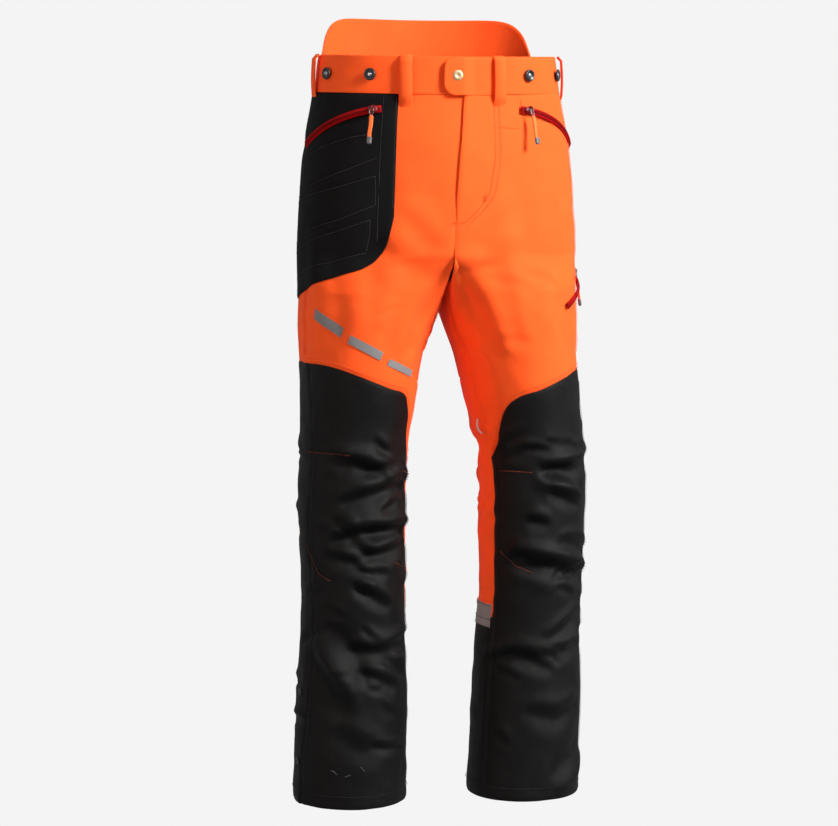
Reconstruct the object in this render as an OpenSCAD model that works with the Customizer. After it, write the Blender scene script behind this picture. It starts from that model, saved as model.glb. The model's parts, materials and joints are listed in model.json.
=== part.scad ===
// Chainsaw-protective work trousers, hung empty at the waist.
// The hem lies at z = 0 while a piece is built; place() then moves the origin
// to the centre of the waistband. The wearer's left is +X, the front faces -Y.

/* [Overall] */
// Height of the waistband's middle above the hem
waist_z = 1036; // [1000:1:1060]
// Height of the waistband
band_h = 52; // [40:1:60]
// How far the back panel rises above the waistband
raise_h = 56; // [30:1:80]
// Height of the crotch point above the hem
crotch_z = 735; // [700:1:745]

/* [Joints] */
// Height of the hip axis above the hem
hip_z = 815; // [800:1:830]
// Depth position of the hip axis
hip_y = -10; // [-20:1:0]
// Half opening of the soft zone in front of the hip, in degrees
hip_front_angle = 34; // [20:1:36]
// Half opening of the soft zone behind the hip, in degrees
hip_back_angle = 9; // [6:1:12]
// Height of the knee axis above the hem
knee_z = 415; // [400:1:430]
// Half opening of the soft zone round the knee, in degrees
knee_angle = 46; // [40:1:48]

/* [Cloth] */
// Thickness of the outer fabric
cloth_t = 1.5; // [1:0.1:2.5]
// Thickness of the saw-stopping pack
pack_t = 5; // [3:0.5:6]
// Thickness of the lining
lining_t = 0.8; // [0.5:0.1:1]
// Turn of the left leg's seams towards the outside, in degrees
toe_out = 13; // [0:1:15]

/* [Zips] */
// Width of a pocket zip's tape
zip_w = 10; // [8:1:12]
// Length of a hanging zip pull
pull_len = 52; // [25:1:60]
// Width of a hanging zip pull
pull_w = 7; // [5:0.5:8]

/* [Hardware] */
// Diameter of a brace button
button_d = 17; // [14:0.5:18]
// Diameter of the waist snap's cap
snap_d = 15; // [12:0.5:16]
// Width of a belt loop
loop_w = 20; // [15:1:22]
// Free depth behind a belt loop
loop_gap = 8.4; // [7:0.1:9]

/* [Hidden] */
$fn = 48;

orange = [1, 0.42, 0.12];
black = [0.12, 0.12, 0.13];
grey = [0.5, 0.5, 0.5];
red = [0.6, 0.02, 0.04];
brass = [0.72, 0.57, 0.35];

// Seam angles round a leg: 0 is the front, 90 the outside, 180 the back, -90 the inside.
inseam = -72;
outseam = 80;
seam_gap = 0.2;
joint_gap = 2;
edge_gap = 0.5;
band_bottom = waist_z - band_h / 2;
band_top = waist_z + band_h / 2;
calf_bottom = 262;
crotch_rise = 45;
blend_h = 100;

// [height, value] pairs of the leg: distance of its centre from the middle, half width, half depth
leg_centre = [[0, 127], [285, 129.5], [400, 131], [515, 127.5], [570, 119.5], [630, 113], [685, 105.5],
    [735, 101]];
leg_width = [[0, 80], [140, 78.5], [285, 73.5], [400, 75], [515, 76.5], [570, 81.5], [630, 87], [685, 95],
    [735, 98]];
leg_depth = [[0, 80], [140, 80], [285, 82], [400, 87], [515, 92], [570, 98], [630, 106], [735, 118]];
// [height, value] pairs of the hips: half width, depth in front, depth behind
hip_width = [[735, 201], [830, 197], [890, 192], [945, 186], [1009, 175], [1064, 175]];
hip_front = [[735, 118], [830, 126], [945, 122], [1009, 113], [1064, 113]];
hip_back = [[735, 118], [830, 148], [945, 139], [1009, 122], [1064, 122]];
// [angle, height] pairs of the edge between the thigh and the black knee cover
knee_edge = [[-75, 495], [-56, 545], [-38, 574], [-12, 586], [26, 608], [60, 622], [80, 622]];
// [angle, height] pairs of the quilted panel's lower edge
panel_edge = [[-8, 850], [-4, 812], [4, 780], [16, 764], [30, 756], [76, 728]];

function clamp01(t) = max(0, min(1, t));
function lerp(a, b, t) = a + (b - a) * t;
// Angular distance from the inside of the leg
function inner_off(b) = abs((b + 90 + 180 + 720) % 360 - 180);
function crotch_at(b) = crotch_z + crotch_rise * min(1, pow(inner_off(b) / 45, 2));
function toe(s, z) = s > 0 ? toe_out * clamp01((700 - z) / 250) : 0;
function depth_at(c, z) = c < 0 ? lookup(z, hip_back) : lookup(z, hip_front);
// A point of the hips at angle psi: 0 is the front centre, 180 the back centre, + is the left
function hip_point(psi, z, d) = [(lookup(z, hip_width) - d) * sin(psi),
    -(depth_at(cos(psi), z) - d) * cos(psi), z];
function inner_point(s, b, z, d) = let (c = b < 0 ? cos(2 * (b + 45)) : -cos(2 * (b - 225)))
    [s * (0.4 + d), -depth_at(c, z) * c, z];
function hips(s, b, z, d) = inner_off(b) >= 45
    ? hip_point(s * (b + 45) * 2 / 3, z, d) : inner_point(s, b, z, d);
function leg(s, b, z, d) = let (a = b + toe(s, z))
    [s * (lookup(z, leg_centre) + (lookup(z, leg_width) - d) * sin(a)), -(lookup(z, leg_depth) - d) * cos(a), z];
// The trousers' outer surface, moved inwards by d
function skin(s, b, z, d) = let (t = clamp01((crotch_at(b) - z) / blend_h), m = 1 - pow(1 - t, 2))
    lerp(hips(s, b, z, d), leg(s, b, z, d), m);

// Edges of the soft zones: flat fans through each joint's axis
function hip_half(b) = let (y = hips(1, b, hip_z, 0)[1] - hip_y)
    joint_gap + abs(y) * tan(y < 0 ? hip_front_angle : hip_back_angle);
function hip_upper(b) = hip_z + hip_half(b);
function hip_lower(b) = hip_z - hip_half(b);
function thigh_top(b) = min(hip_lower(b), crotch_at(b) - edge_gap);
function knee_half(s, b) = joint_gap + abs(leg(s, b, knee_z, 0)[1]) * tan(knee_angle);
function knee_upper(s, b) = knee_z + knee_half(s, b);
function knee_lower(s, b) = knee_z - knee_half(s, b);

function grid_index(layer, i, j, nb, nz) = (layer * (nb + 1) + i) * (nz + 1) + j;
function turned(f, flip) = flip ? [f[2], f[1], f[0]] : f;
function quad(a, b, c, d) = [[a, b, c], [a, c, d]];

// A closed sheet between two layers of points; at(layer, u, v) gives a point
module sheet(at, nb, nz, flip = false) {
    points = [for (layer = [0, 1], i = [0:nb], j = [0:nz]) at(layer, i / nb, j / nz)];
    faces = concat(
        [for (i = [0:nb - 1], j = [0:nz - 1]) each quad(
            grid_index(0, i, j, nb, nz), grid_index(0, i, j + 1, nb, nz),
            grid_index(0, i + 1, j + 1, nb, nz), grid_index(0, i + 1, j, nb, nz))],
        [for (i = [0:nb - 1], j = [0:nz - 1]) each quad(
            grid_index(1, i, j, nb, nz), grid_index(1, i + 1, j, nb, nz),
            grid_index(1, i + 1, j + 1, nb, nz), grid_index(1, i, j + 1, nb, nz))],
        [for (i = [0:nb - 1]) each quad(
            grid_index(0, i, 0, nb, nz), grid_index(0, i + 1, 0, nb, nz),
            grid_index(1, i + 1, 0, nb, nz), grid_index(1, i, 0, nb, nz))],
        [for (i = [0:nb - 1]) each quad(
            grid_index(0, i, nz, nb, nz), grid_index(1, i, nz, nb, nz),
            grid_index(1, i + 1, nz, nb, nz), grid_index(0, i + 1, nz, nb, nz))],
        [for (j = [0:nz - 1]) each quad(
            grid_index(0, 0, j, nb, nz), grid_index(1, 0, j, nb, nz),
            grid_index(1, 0, j + 1, nb, nz), grid_index(0, 0, j + 1, nb, nz))],
        [for (j = [0:nz - 1]) each quad(
            grid_index(0, nb, j, nb, nz), grid_index(0, nb, j + 1, nb, nz),
            grid_index(1, nb, j + 1, nb, nz), grid_index(1, nb, j, nb, nz))]);
    polyhedron(points, [for (f = faces) turned(f, flip)], convexity = 6);
}

// A panel of one leg between two angles and two edge functions, from depth d0 to d1
module panel(s, b0, b1, low, high, d0, d1, nb, nz, lean = 0) {
    sheet(function (layer, u, v) let (b = lerp(b0 + lean * v * v, b1, u))
        skin(s, b, lerp(low(b), high(b), v), layer == 0 ? d0 : d1), nb, nz, s < 0);
}

// A strip round the hips between two angles
module hoop(psi0, psi1, low, high, d0, d1, n, nz) {
    sheet(function (layer, u, v) let (psi = lerp(psi0, psi1, u))
        hip_point(psi, lerp(low(psi), high(psi), v), layer == 0 ? d0 : d1), n, nz);
}

// Outward direction of the hips at angle psi, as a turn about the vertical
function hip_turn(psi, z) = let (p = hip_point(psi, z, 0), a = lookup(z, hip_width), b = depth_at(cos(psi), z))
    atan2(p[1] / (b * b), p[0] / (a * a));
// Children are drawn with +X pointing out of the cloth and +Y along it
module on_hips(psi, z) {
    translate(hip_point(psi, z, 0)) rotate([0, 0, hip_turn(psi, z)]) children();
}

// ---- outer fabric -------------------------------------------------------------------------------
module hip_front_panel(s) {
    color(orange) panel(s, -44.8, outseam - seam_gap, function (b) hip_upper(b),
        function (b) band_bottom - edge_gap, 0, cloth_t, 14, 5);
}
module seat_panel(s) {
    color(orange) panel(s, outseam + seam_gap, 224.8, function (b) hip_upper(b),
        function (b) band_bottom - edge_gap, 0, cloth_t, 14, 5);
}
module hip_flex(s) {
    color(orange) panel(s, -44.8, 224.8, function (b) hip_lower(b) + 1,
        function (b) hip_upper(b) - 1, 0, cloth_t, 27, 4);
}
module thigh_front(s) {
    color(orange) panel(s, inseam, outseam - seam_gap, function (b) lookup(b, knee_edge) + edge_gap,
        function (b) thigh_top(b), 0, cloth_t, 16, 6);
}
module thigh_back(s) {
    color(orange) panel(s, outseam + seam_gap, inseam + 360 - seam_gap,
        function (b) knee_upper(s, b), function (b) thigh_top(b), 0, cloth_t, 20, 7);
}
module knee_top(s) {
    color(black) panel(s, inseam, outseam - seam_gap, function (b) knee_upper(s, b),
        function (b) lookup(b, knee_edge) - edge_gap, 0, cloth_t, 16, 4);
}
module knee_flex_front(s) {
    color(black) panel(s, inseam, outseam - seam_gap, function (b) knee_lower(s, b) + 1,
        function (b) knee_upper(s, b) - 1, 0, cloth_t, 16, 4);
}
module knee_flex_back(s) {
    color(orange) panel(s, outseam + seam_gap, inseam + 360 - seam_gap,
        function (b) knee_lower(s, b) + 1, function (b) knee_upper(s, b) - 1, 0, cloth_t, 20, 4);
}
module shin_front(s) {
    color(black) panel(s, inseam, outseam - seam_gap, function (b) 0,
        function (b) knee_lower(s, b), 0, cloth_t, 16, 6);
}
module calf(s) {
    color(orange) panel(s, outseam + seam_gap, inseam + 360 - seam_gap, function (b) calf_bottom,
        function (b) knee_lower(s, b), 0, cloth_t, 20, 4);
}
module ankle_back(s) {
    color(black) panel(s, outseam + seam_gap, inseam + 360 - seam_gap, function (b) 0,
        function (b) calf_bottom - edge_gap, 0, cloth_t, 20, 4);
}
module reflective_band(s) {
    color(grey) panel(s, 95, 284, function (b) 245, function (b) 280, -1.5, -0.4, 20, 2);
}

// ---- inside -------------------------------------------------------------------------------------
// How far inside the outer surface the lining hangs
lining_depth = 12.6;
module saw_pack(s) {
    color("gold") panel(s, -68, 70, function (b) 50, function (b) 930, 4.5, 4.5 + pack_t, 12, 26, 44);
}
module leg_lining(s) {
    color("dimgray") panel(s, -89.6, 269.6, function (b) 15, function (b) crotch_z - 8,
        lining_depth, lining_depth + lining_t, 28, 24);
}
module hip_lining(s) {
    color("dimgray") panel(s, -22, 224, function (b) crotch_z - 4, function (b) band_bottom - 2,
        lining_depth, lining_depth + lining_t, 22, 10);
}
module front_pocket_bag(s) {
    color("dimgray") panel(s, 0, 68, function (b) 800, function (b) 985, 2, 3.8, 8, 5);
}
module thigh_pocket_bag() {
    color("dimgray") panel(1, 58, 104, function (b) 600, function (b) 715 + (b - 58) * 0.7, 2, 3.8, 6, 4);
}

// ---- waist --------------------------------------------------------------------------------------
// Angle at which the waistband and the fly open, a little to the wearer's left
opening_psi = 5.5;
module waistband_front(s) {
    from = s > 0 ? opening_psi + 0.2 : -84;
    to = s > 0 ? 84 : opening_psi - 0.2;
    color(orange) hoop(from, to, function (p) band_bottom, function (p) band_top, -1, 2.5, 16, 2);
}
module waistband_back() {
    color(orange) hoop(84.2, 275.8, function (p) band_bottom, function (p) band_top, -1, 2.5, 32, 2);
}
module back_raise_panel() {
    span = 62;
    color(orange) hoop(180 - span, 180 + span, function (p) band_top + edge_gap,
        function (p) band_top + 2 + raise_h * (1 - pow((p - 180) / span, 6)), 0, 2.5, 32, 3);
}
module fly_flap() {
    color(orange) hoop(opening_psi, 16, function (p) 897, function (p) band_bottom - edge_gap, -2, -0.4, 4, 4);
}
module fly_shield() {
    color(orange) hoop(-12, 9, function (p) 897, function (p) band_bottom - edge_gap, 12.5, 14, 5, 4);
}

// The fly zip is straight and leans with the belly
fly_low = hip_point(0, 900, 6.5);
fly_high = hip_point(0, 1002, 6.5);
fly_len = norm(fly_high - fly_low);
fly_lean = atan2(fly_high[1] - fly_low[1], fly_high[2] - fly_low[2]);
module on_fly() { translate(fly_low) rotate([-fly_lean, 0, 0]) children(); }
module fly_zip() {
    color(red) on_fly() {
        translate([-13, -0.5, 0]) cube([26, 1, fly_len]);
        translate([-3, -1.2, 0]) cube([6, 2.4, fly_len]);
    }
}
slider_l = 13;
module fly_zip_slider() {
    color(grey) on_fly() translate([0, 0, fly_len - slider_l]) {
        translate([-5, -2.8, 0]) cube([10, 1.2, slider_l]);
        for (x = [-5, 3.8]) translate([x, -2, 0]) cube([1.2, 1.4, slider_l]);
    }
}
module fly_zip_pull() {
    color(grey) on_fly() translate([-2.5, -4.3, fly_len - slider_l - 18]) cube([5, 1.2, 30]);
}

// The tab closes over the right waistband and swings on its left edge
tab_from = -4.5;
tab_to = 7.5;
tab_r = 9;
// Height lost to the rounded corner at the tab's free edge
function tab_cut(p) = let (x = max(0, tab_r - (p - tab_from) * 3)) tab_r - sqrt(tab_r * tab_r - x * x);
module waist_tab() {
    color(orange) hoop(tab_from, tab_to, function (p) band_bottom + 1 + tab_cut(p),
        function (p) band_top - 1 - tab_cut(p), -7.5, -5.4, 12, 2);
}
snap_psi = 1.5;
module snap_cap() {
    color(brass) on_hips(snap_psi, waist_z) translate([7.7, 0, 0]) rotate([0, 90, 0])
        rotate_extrude() polygon([[0, 0], [snap_d / 2, 0], [snap_d / 2, 1], [snap_d / 2 - 1.2, 2],
            [2.4, 2.2], [1.8, 1.6], [0, 1.5]]);
}
module snap_socket() {
    color(brass) on_hips(snap_psi, waist_z) translate([3.3, 0, 0]) rotate([0, 90, 0]) difference() {
        cylinder(r = 6, h = 1.9);
        translate([0, 0, -1]) cylinder(r = 3.8, h = 2.4);
    }
}
module snap_stud() {
    color(brass) on_hips(snap_psi, waist_z) translate([1.1, 0, 0]) rotate([0, 90, 0]) {
        cylinder(r = 5.5, h = 1.2);
        cylinder(r = 3, h = 3);
    }
}
module belt_loop(psi) {
    loop_t = 2;
    foot_h = 2;
    on_hips(psi, waist_z) translate([1.3, -loop_w / 2, -band_h / 2]) {
        translate([loop_gap, 0, 0]) cube([loop_t, loop_w, band_h]);
        for (z = [0, band_h - foot_h]) translate([0, 0, z]) cube([loop_gap + loop_t, loop_w, foot_h]);
    }
}
module belt_loops_front() { color(orange) for (psi = [-85, -22, 22, 85]) belt_loop(psi); }
module belt_loops_back() { color(orange) for (psi = [150, 180, 210]) belt_loop(psi); }
module brace_button() {
    r = button_d / 2;
    rotate([0, 90, 0]) rotate_extrude() polygon([[0, 0], [3, 0], [3, 2.4], [r - 1, 2.4], [r, 3.2], [r, 4.4],
        [r - 1.5, 5.4], [5, 5.4], [4.4, 4.6], [0, 4.6]]);
}
module brace_buttons() {
    color([0.1, 0.1, 0.12]) {
        for (psi = [-70, -40, 40, 70]) on_hips(psi, waist_z) translate([1.5, 0, 0]) brace_button();
        for (psi = [163, 197]) on_hips(psi, band_top + 14) translate([0.4, 0, 0]) brace_button();
    }
}

// ---- pockets ------------------------------------------------------------------------------------
module right_pocket_panel() {
    color(black) panel(-1, -8, 76, function (b) lookup(b, panel_edge), function (b) band_bottom - edge_gap,
        -2, -0.4, 14, 10);
}

// Each curved zip follows a circle through three points, from its closed end to its open end
function front_zip(s) = [skin(s, 4, 981, -0.4), skin(s, 42, 965, 0), skin(s, 82, 934, -0.4)];
thigh_zip = [skin(1, 108, 756, 0), skin(1, 74, 734, 0), skin(1, 42, 709, 0)];
front_zip_lean = 19;
thigh_zip_lean = 4;

function unit(v) = v / norm(v);
function arc_axis(p) = unit(cross(p[1] - p[0], p[2] - p[1]));
function arc_centre(p) = let (a = p[1] - p[0], b = p[2] - p[0], n = cross(a, b))
    p[0] + (cross(n, a) * (b * b) + cross(b, n) * (a * a)) / (2 * (n * n));
function arc_radius(p) = norm(p[0] - arc_centre(p));
function arc_angle(p) = 2 * asin(norm(p[2] - p[0]) / (2 * arc_radius(p)));
// Children are drawn with the circle about Z and the first point on +X
module on_arc(p) {
    x = unit(p[0] - arc_centre(p));
    z = arc_axis(p);
    y = cross(z, x);
    c = arc_centre(p);
    multmatrix([[x[0], y[0], z[0], c[0]], [x[1], y[1], z[1], c[1]], [x[2], y[2], z[2], c[2]]]) children();
}
// A rib along the circle: out is its distance off the cloth, lean the strip's tilt, shift its place across
module arc_rib(p, lean, from, sweep, out, thick, wide, shift = 0) {
    on_arc(p) rotate([0, 0, from]) rotate_extrude(angle = sweep, $fn = 128)
        translate([arc_radius(p), 0]) rotate([0, 0, lean])
            translate([out, shift - wide / 2]) square([thick, wide]);
}
// Outward direction of a leaning strip at its first point
function strip_normal(p, lean) = unit(p[0] - arc_centre(p)) * cos(lean) + arc_axis(p) * sin(lean);
module curved_zip(p, lean) {
    color(red) {
        arc_rib(p, lean, 0, arc_angle(p), 3, 1.1, zip_w);
        arc_rib(p, lean, 0, arc_angle(p), 4, 1.6, 4.6);
    }
}
slider_angle = 5;
hinge_out = 12;
module zip_slider(p, lean, from, sweep) {
    color(grey) {
        arc_rib(p, lean, from, sweep, 6, 1.5, 10.4);
        for (side = [-1, 1]) arc_rib(p, lean, from, sweep, 4.6, 2, 1.2, side * 4.6);
        on_pull(p, lean, from + sweep / 2) {
            rotate([90, 0, 0]) cylinder(r = 1, h = pull_w + 3, center = true);
            for (y = [-1, 1]) translate([-4.4, y * (pull_w / 2 + 1) - 0.6, -1.4]) cube([5.6, 1.2, 2.8]);
        }
    }
}
// Local frame at a pull's hinge: X out of the strip, Y the hinge, Z up along the cloth
module on_pull(p, lean, at) {
    c = arc_centre(p);
    k = arc_axis(p);
    r = unit(p[0] - c);
    q = r * cos(at) + cross(k, r) * sin(at);
    n = q * cos(lean) + k * sin(lean);
    y = unit(cross([0, 0, 1], n));
    z = cross(n, y);
    h = c + q * arc_radius(p) + n * hinge_out;
    multmatrix([[n[0], y[0], z[0], h[0]], [n[1], y[1], z[1], h[1]], [n[2], y[2], z[2], h[2]]]) children();
}
module zip_pull(p, lean, at) {
    color(orange) on_pull(p, lean, at) difference() {
        union() {
            rotate([90, 0, 0]) cylinder(r = 2.3, h = pull_w, center = true);
            translate([-1.3, -pull_w / 2, -pull_len]) cube([2.6, pull_w, pull_len]);
        }
        rotate([90, 0, 0]) cylinder(r = 1.08, h = pull_w + 2, center = true);
    }
}
front_slider_at = 2;
thigh_slider_at = 1;
thigh_slider_angle = 7;

// Moves the origin from the hem to the waistband
module place() { translate([0, 0, -waist_z]) children(); }

place() waistband_front(-1);  // waistband_right
place() waistband_front(1);  // waistband_left
place() waistband_back();
place() back_raise_panel();
place() hip_front_panel(-1);  // hip_front_right
place() hip_front_panel(1);  // hip_front_left
place() seat_panel(-1);  // seat_right
place() seat_panel(1);  // seat_left
place() hip_flex(-1);  // hip_flex_right
place() hip_flex(1);  // hip_flex_left
place() hip_lining(-1);  // hip_lining_right
place() hip_lining(1);  // hip_lining_left
place() fly_flap();
place() fly_shield();
place() fly_zip();
place() fly_zip_slider();
place() fly_zip_pull();
place() waist_tab();
place() snap_cap();
place() snap_socket();
place() snap_stud();
place() belt_loops_front();
place() belt_loops_back();
place() brace_buttons();
place() right_pocket_panel();
place() front_pocket_bag(-1);  // right_pocket_bag
place() front_pocket_bag(1);  // left_pocket_bag
place() curved_zip(front_zip(-1), front_zip_lean);  // right_pocket_zip
place() zip_slider(front_zip(-1), front_zip_lean, front_slider_at, slider_angle);  // right_zip_slider
place() zip_pull(front_zip(-1), front_zip_lean, front_slider_at + slider_angle / 2);  // right_zip_pull
place() curved_zip(front_zip(1), -front_zip_lean);  // left_pocket_zip
place() zip_slider(front_zip(1), -front_zip_lean, front_slider_at, slider_angle);  // left_zip_slider
place() zip_pull(front_zip(1), -front_zip_lean, front_slider_at + slider_angle / 2);  // left_zip_pull
place() thigh_front(-1);  // thigh_front_right
place() thigh_front(1);  // thigh_front_left
place() thigh_back(-1);  // thigh_back_right
place() thigh_back(1);  // thigh_back_left
place() thigh_pocket_bag();
place() curved_zip(thigh_zip, thigh_zip_lean);  // thigh_pocket_zip
place() zip_slider(thigh_zip, thigh_zip_lean, thigh_slider_at, thigh_slider_angle);  // thigh_zip_slider
place() zip_pull(thigh_zip, thigh_zip_lean, thigh_slider_at + thigh_slider_angle / 2);  // thigh_zip_pull
place() knee_top(-1);  // knee_top_right
place() knee_top(1);  // knee_top_left
place() knee_flex_front(-1);  // knee_flex_front_right
place() knee_flex_front(1);  // knee_flex_front_left
place() knee_flex_back(-1);  // knee_flex_back_right
place() knee_flex_back(1);  // knee_flex_back_left
place() shin_front(-1);  // shin_front_right
place() shin_front(1);  // shin_front_left
place() calf(-1);  // calf_right
place() calf(1);  // calf_left
place() ankle_back(-1);  // ankle_back_right
place() ankle_back(1);  // ankle_back_left
place() reflective_band(-1);  // reflective_band_right
place() reflective_band(1);  // reflective_band_left
place() saw_pack(-1);  // saw_pack_right
place() saw_pack(1);  // saw_pack_left
place() leg_lining(-1);  // leg_lining_right
place() leg_lining(1);  // leg_lining_left
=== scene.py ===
"""Chainsaw-protective work trousers, hung empty at the waist.

Every panel of cloth is cut from one surface. A point of it has a side (-1 the wearer's right, +1 the left),
an angle round the leg in degrees (0 front, 90 outside, 180 back, -90 inside) and a height above the hem.
skin() gives the plain body shape that the CAD model also has, and relief() the folds that lie on it.
Lengths are in metres.
"""
import functools
import json
import math

import bmesh
import bpy
import numpy as np
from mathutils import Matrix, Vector


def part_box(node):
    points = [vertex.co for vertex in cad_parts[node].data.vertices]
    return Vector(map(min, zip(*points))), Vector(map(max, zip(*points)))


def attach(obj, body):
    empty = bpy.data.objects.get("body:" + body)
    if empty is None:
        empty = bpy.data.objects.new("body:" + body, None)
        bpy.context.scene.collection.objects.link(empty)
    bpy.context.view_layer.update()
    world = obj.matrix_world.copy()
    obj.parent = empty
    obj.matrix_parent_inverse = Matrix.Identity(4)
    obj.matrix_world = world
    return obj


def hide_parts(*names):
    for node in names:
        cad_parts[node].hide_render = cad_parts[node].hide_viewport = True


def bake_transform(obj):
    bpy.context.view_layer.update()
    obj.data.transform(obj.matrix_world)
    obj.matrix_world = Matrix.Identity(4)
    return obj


RIGHT, LEFT = -1, 1
NAME = {RIGHT: "right", LEFT: "left"}
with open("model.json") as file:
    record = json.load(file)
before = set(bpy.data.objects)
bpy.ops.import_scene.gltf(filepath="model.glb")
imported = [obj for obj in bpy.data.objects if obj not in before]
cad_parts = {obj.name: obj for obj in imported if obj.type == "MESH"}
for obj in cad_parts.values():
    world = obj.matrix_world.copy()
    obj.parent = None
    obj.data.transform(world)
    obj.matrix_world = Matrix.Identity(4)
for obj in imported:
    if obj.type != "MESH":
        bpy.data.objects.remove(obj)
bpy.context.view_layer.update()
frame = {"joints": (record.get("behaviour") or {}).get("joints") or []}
JOINT = {j["name"]: j for j in frame["joints"]}
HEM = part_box("shin_front_right")[0].z
# Heights above the hem
BAND_LOW, BAND_HIGH = (corner.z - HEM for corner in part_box("waistband_right"))
BAND_STRIP = tuple(corner.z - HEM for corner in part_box("reflective_band_right"))
RAISE_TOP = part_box("back_raise_panel")[1].z - HEM
CALF_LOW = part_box("calf_right")[0].z - HEM
KNEE_Z = JOINT["right_knee"]["pos_m"][2] - HEM
# The cloth runs a little way up behind the waistband
SEWN_TOP = BAND_LOW + 0.003
CROTCH_Z = 0.735
CROTCH_RISE = 0.045
SPLIT_Z = 0.600
FLY_LOW = 0.822
BUTTON_Z = 1.036
# Angles of the seams. Above the crotch the cloth ends at the two centre seams
INSEAM, OUTSEAM = -72, 70
CENTRE_FRONT, CENTRE_BACK, HALF = -45, 225, 45
TOE_OUT = 13
CLOTH = 0.0015
STEP = 0.0042


def add_object(name, data):
    obj = bpy.data.objects.new(name, data)
    bpy.context.scene.collection.objects.link(obj)
    return obj


def aim(obj, place, look_at):
    obj.location = place
    obj.rotation_euler = Vector(np.array(look_at) - np.array(place)).to_track_quat("-Z", "Y").to_euler()


# ---- camera ----
# Aimed a little below the middle of the trousers, from 11 degrees to the wearer's right
CAMERA_TURN = math.radians(-11)
CAMERA_DISTANCE, CAMERA_RAISE, CAMERA_LENS = 3.5, 0.322, 105.5
TARGET_SHIFT, TARGET_Z = -0.0257, 0.553
forward = np.array([-math.sin(CAMERA_TURN), math.cos(CAMERA_TURN), 0])
sideways = np.array([math.cos(CAMERA_TURN), math.sin(CAMERA_TURN), 0])
up = np.array([0, 0, 1.0])
target = sideways * TARGET_SHIFT + up * (HEM + TARGET_Z)
camera_data = bpy.data.cameras.new("camera")
camera_data.sensor_width = 36
camera_data.lens = CAMERA_LENS
camera = add_object("camera", camera_data)
aim(camera, target - forward * CAMERA_DISTANCE + up * CAMERA_RAISE, target)
bpy.context.scene.camera = camera

# ---- the body shape ----
# (height, value) pairs, as in the CAD model
LEG_CENTRE = [(0, .127), (.285, .1295), (.4, .131), (.515, .1275), (.57, .1195), (.63, .113), (.685, .1055),
              (.735, .101)]
LEG_WIDTH = [(0, .080), (.14, .0785), (.285, .0735), (.4, .075), (.515, .0765), (.57, .0815), (.63, .087),
             (.685, .095), (.735, .098)]
LEG_DEPTH = [(0, .080), (.14, .080), (.285, .082), (.4, .087), (.515, .092), (.57, .098), (.63, .106),
             (.735, .118)]
HIP_WIDTH = [(.735, .201), (.83, .197), (.89, .192), (.945, .186), (1.009, .1745), (1.064, .1670)]
HIP_FRONT = [(.735, .118), (.83, .126), (.945, .122), (1.009, .113), (1.064, .113)]
HIP_BACK = [(.735, .118), (.83, .148), (.945, .139), (1.009, .122), (1.064, .122)]
# (angle, height) pairs of the upper edge of the black knee cover
KNEE_EDGE = {
    RIGHT: [(-75, .488), (-66, .505), (-58, .535), (-50, .568), (-44, .582), (-19, .597), (14, .616), (32, .625),
            (58, .630), (104, .630)],
    LEFT: [(-75, .488), (-66, .503), (-58, .522), (-51, .542), (-38, .567), (-24, .581), (-1, .592), (30, .607),
           (62, .617), (104, .620)],
}


def smooth_table(pairs):
    """A cubic curve through the pairs that never overshoots them."""
    x, y = (np.array(v, float) for v in zip(*pairs))
    h, slope = np.diff(x), np.diff(y) / np.diff(x)
    m = np.concatenate([[slope[0]], (slope[:-1] + slope[1:]) / 2, [slope[-1]]])
    turning = np.concatenate([[False], slope[:-1] * slope[1:] <= 0, [False]])
    m[turning] = 0

    def value(at):
        at = np.clip(at, x[0], x[-1])
        i = np.clip(np.searchsorted(x, at) - 1, 0, len(h) - 1)
        t = (at - x[i]) / h[i]
        return ((1 + 2 * t) * (1 - t) ** 2 * y[i] + t * (1 - t) ** 2 * h[i] * m[i]
                + t * t * (3 - 2 * t) * y[i + 1] + t * t * (t - 1) * h[i] * m[i + 1])
    return value


leg_centre, leg_width, leg_depth = map(smooth_table, (LEG_CENTRE, LEG_WIDTH, LEG_DEPTH))
hip_width, hip_front, hip_back = map(smooth_table, (HIP_WIDTH, HIP_FRONT, HIP_BACK))
knee_edges = {side: smooth_table(pairs) for side, pairs in KNEE_EDGE.items()}


def cosd(a):
    return np.cos(np.radians(a))


def sind(a):
    return np.sin(np.radians(a))


def smooth(t):
    t = np.clip(t, 0, 1)
    return t * t * (3 - 2 * t)


def inner_off(b):
    """Angular distance from the inside of the leg."""
    return np.abs((b + 990) % 360 - 180)


def psi_at(b):
    """Angle round the hips, from 0 at the front centre to 180 at the back, of an angle round a leg."""
    return (b - CENTRE_FRONT) * 2 / 3


def crotch_at(b):
    return CROTCH_Z + CROTCH_RISE * np.minimum(1, (inner_off(b) / HALF) ** 2)


def toe(side, z):
    """The left leg's seams turn outwards below the thigh."""
    return TOE_OUT * np.clip((0.7 - z) / 0.25, 0, 1) if side == LEFT else 0 * z


def sway(z):
    """The empty legs hang a little to the wearer's left at the knees."""
    return 0.008 * smooth((0.68 - z) / 0.20) * smooth(z / 0.36)


def hip_depth(c, z):
    """Depth of the hips: the front's for c above 0, the back's below, and a soft change at the side."""
    share = np.clip(0.5 + c * 2, 0, 1)
    return hip_back(z) * (1 - share) + hip_front(z) * share


def hip_point(psi, z):
    """A point of the hips at angle psi: 0 the front centre, 180 the back centre, positive on the left."""
    c = cosd(psi)
    return np.stack([hip_width(z) * sind(psi), -hip_depth(c, z) * c, z + HEM + 0 * psi], -1)


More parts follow.
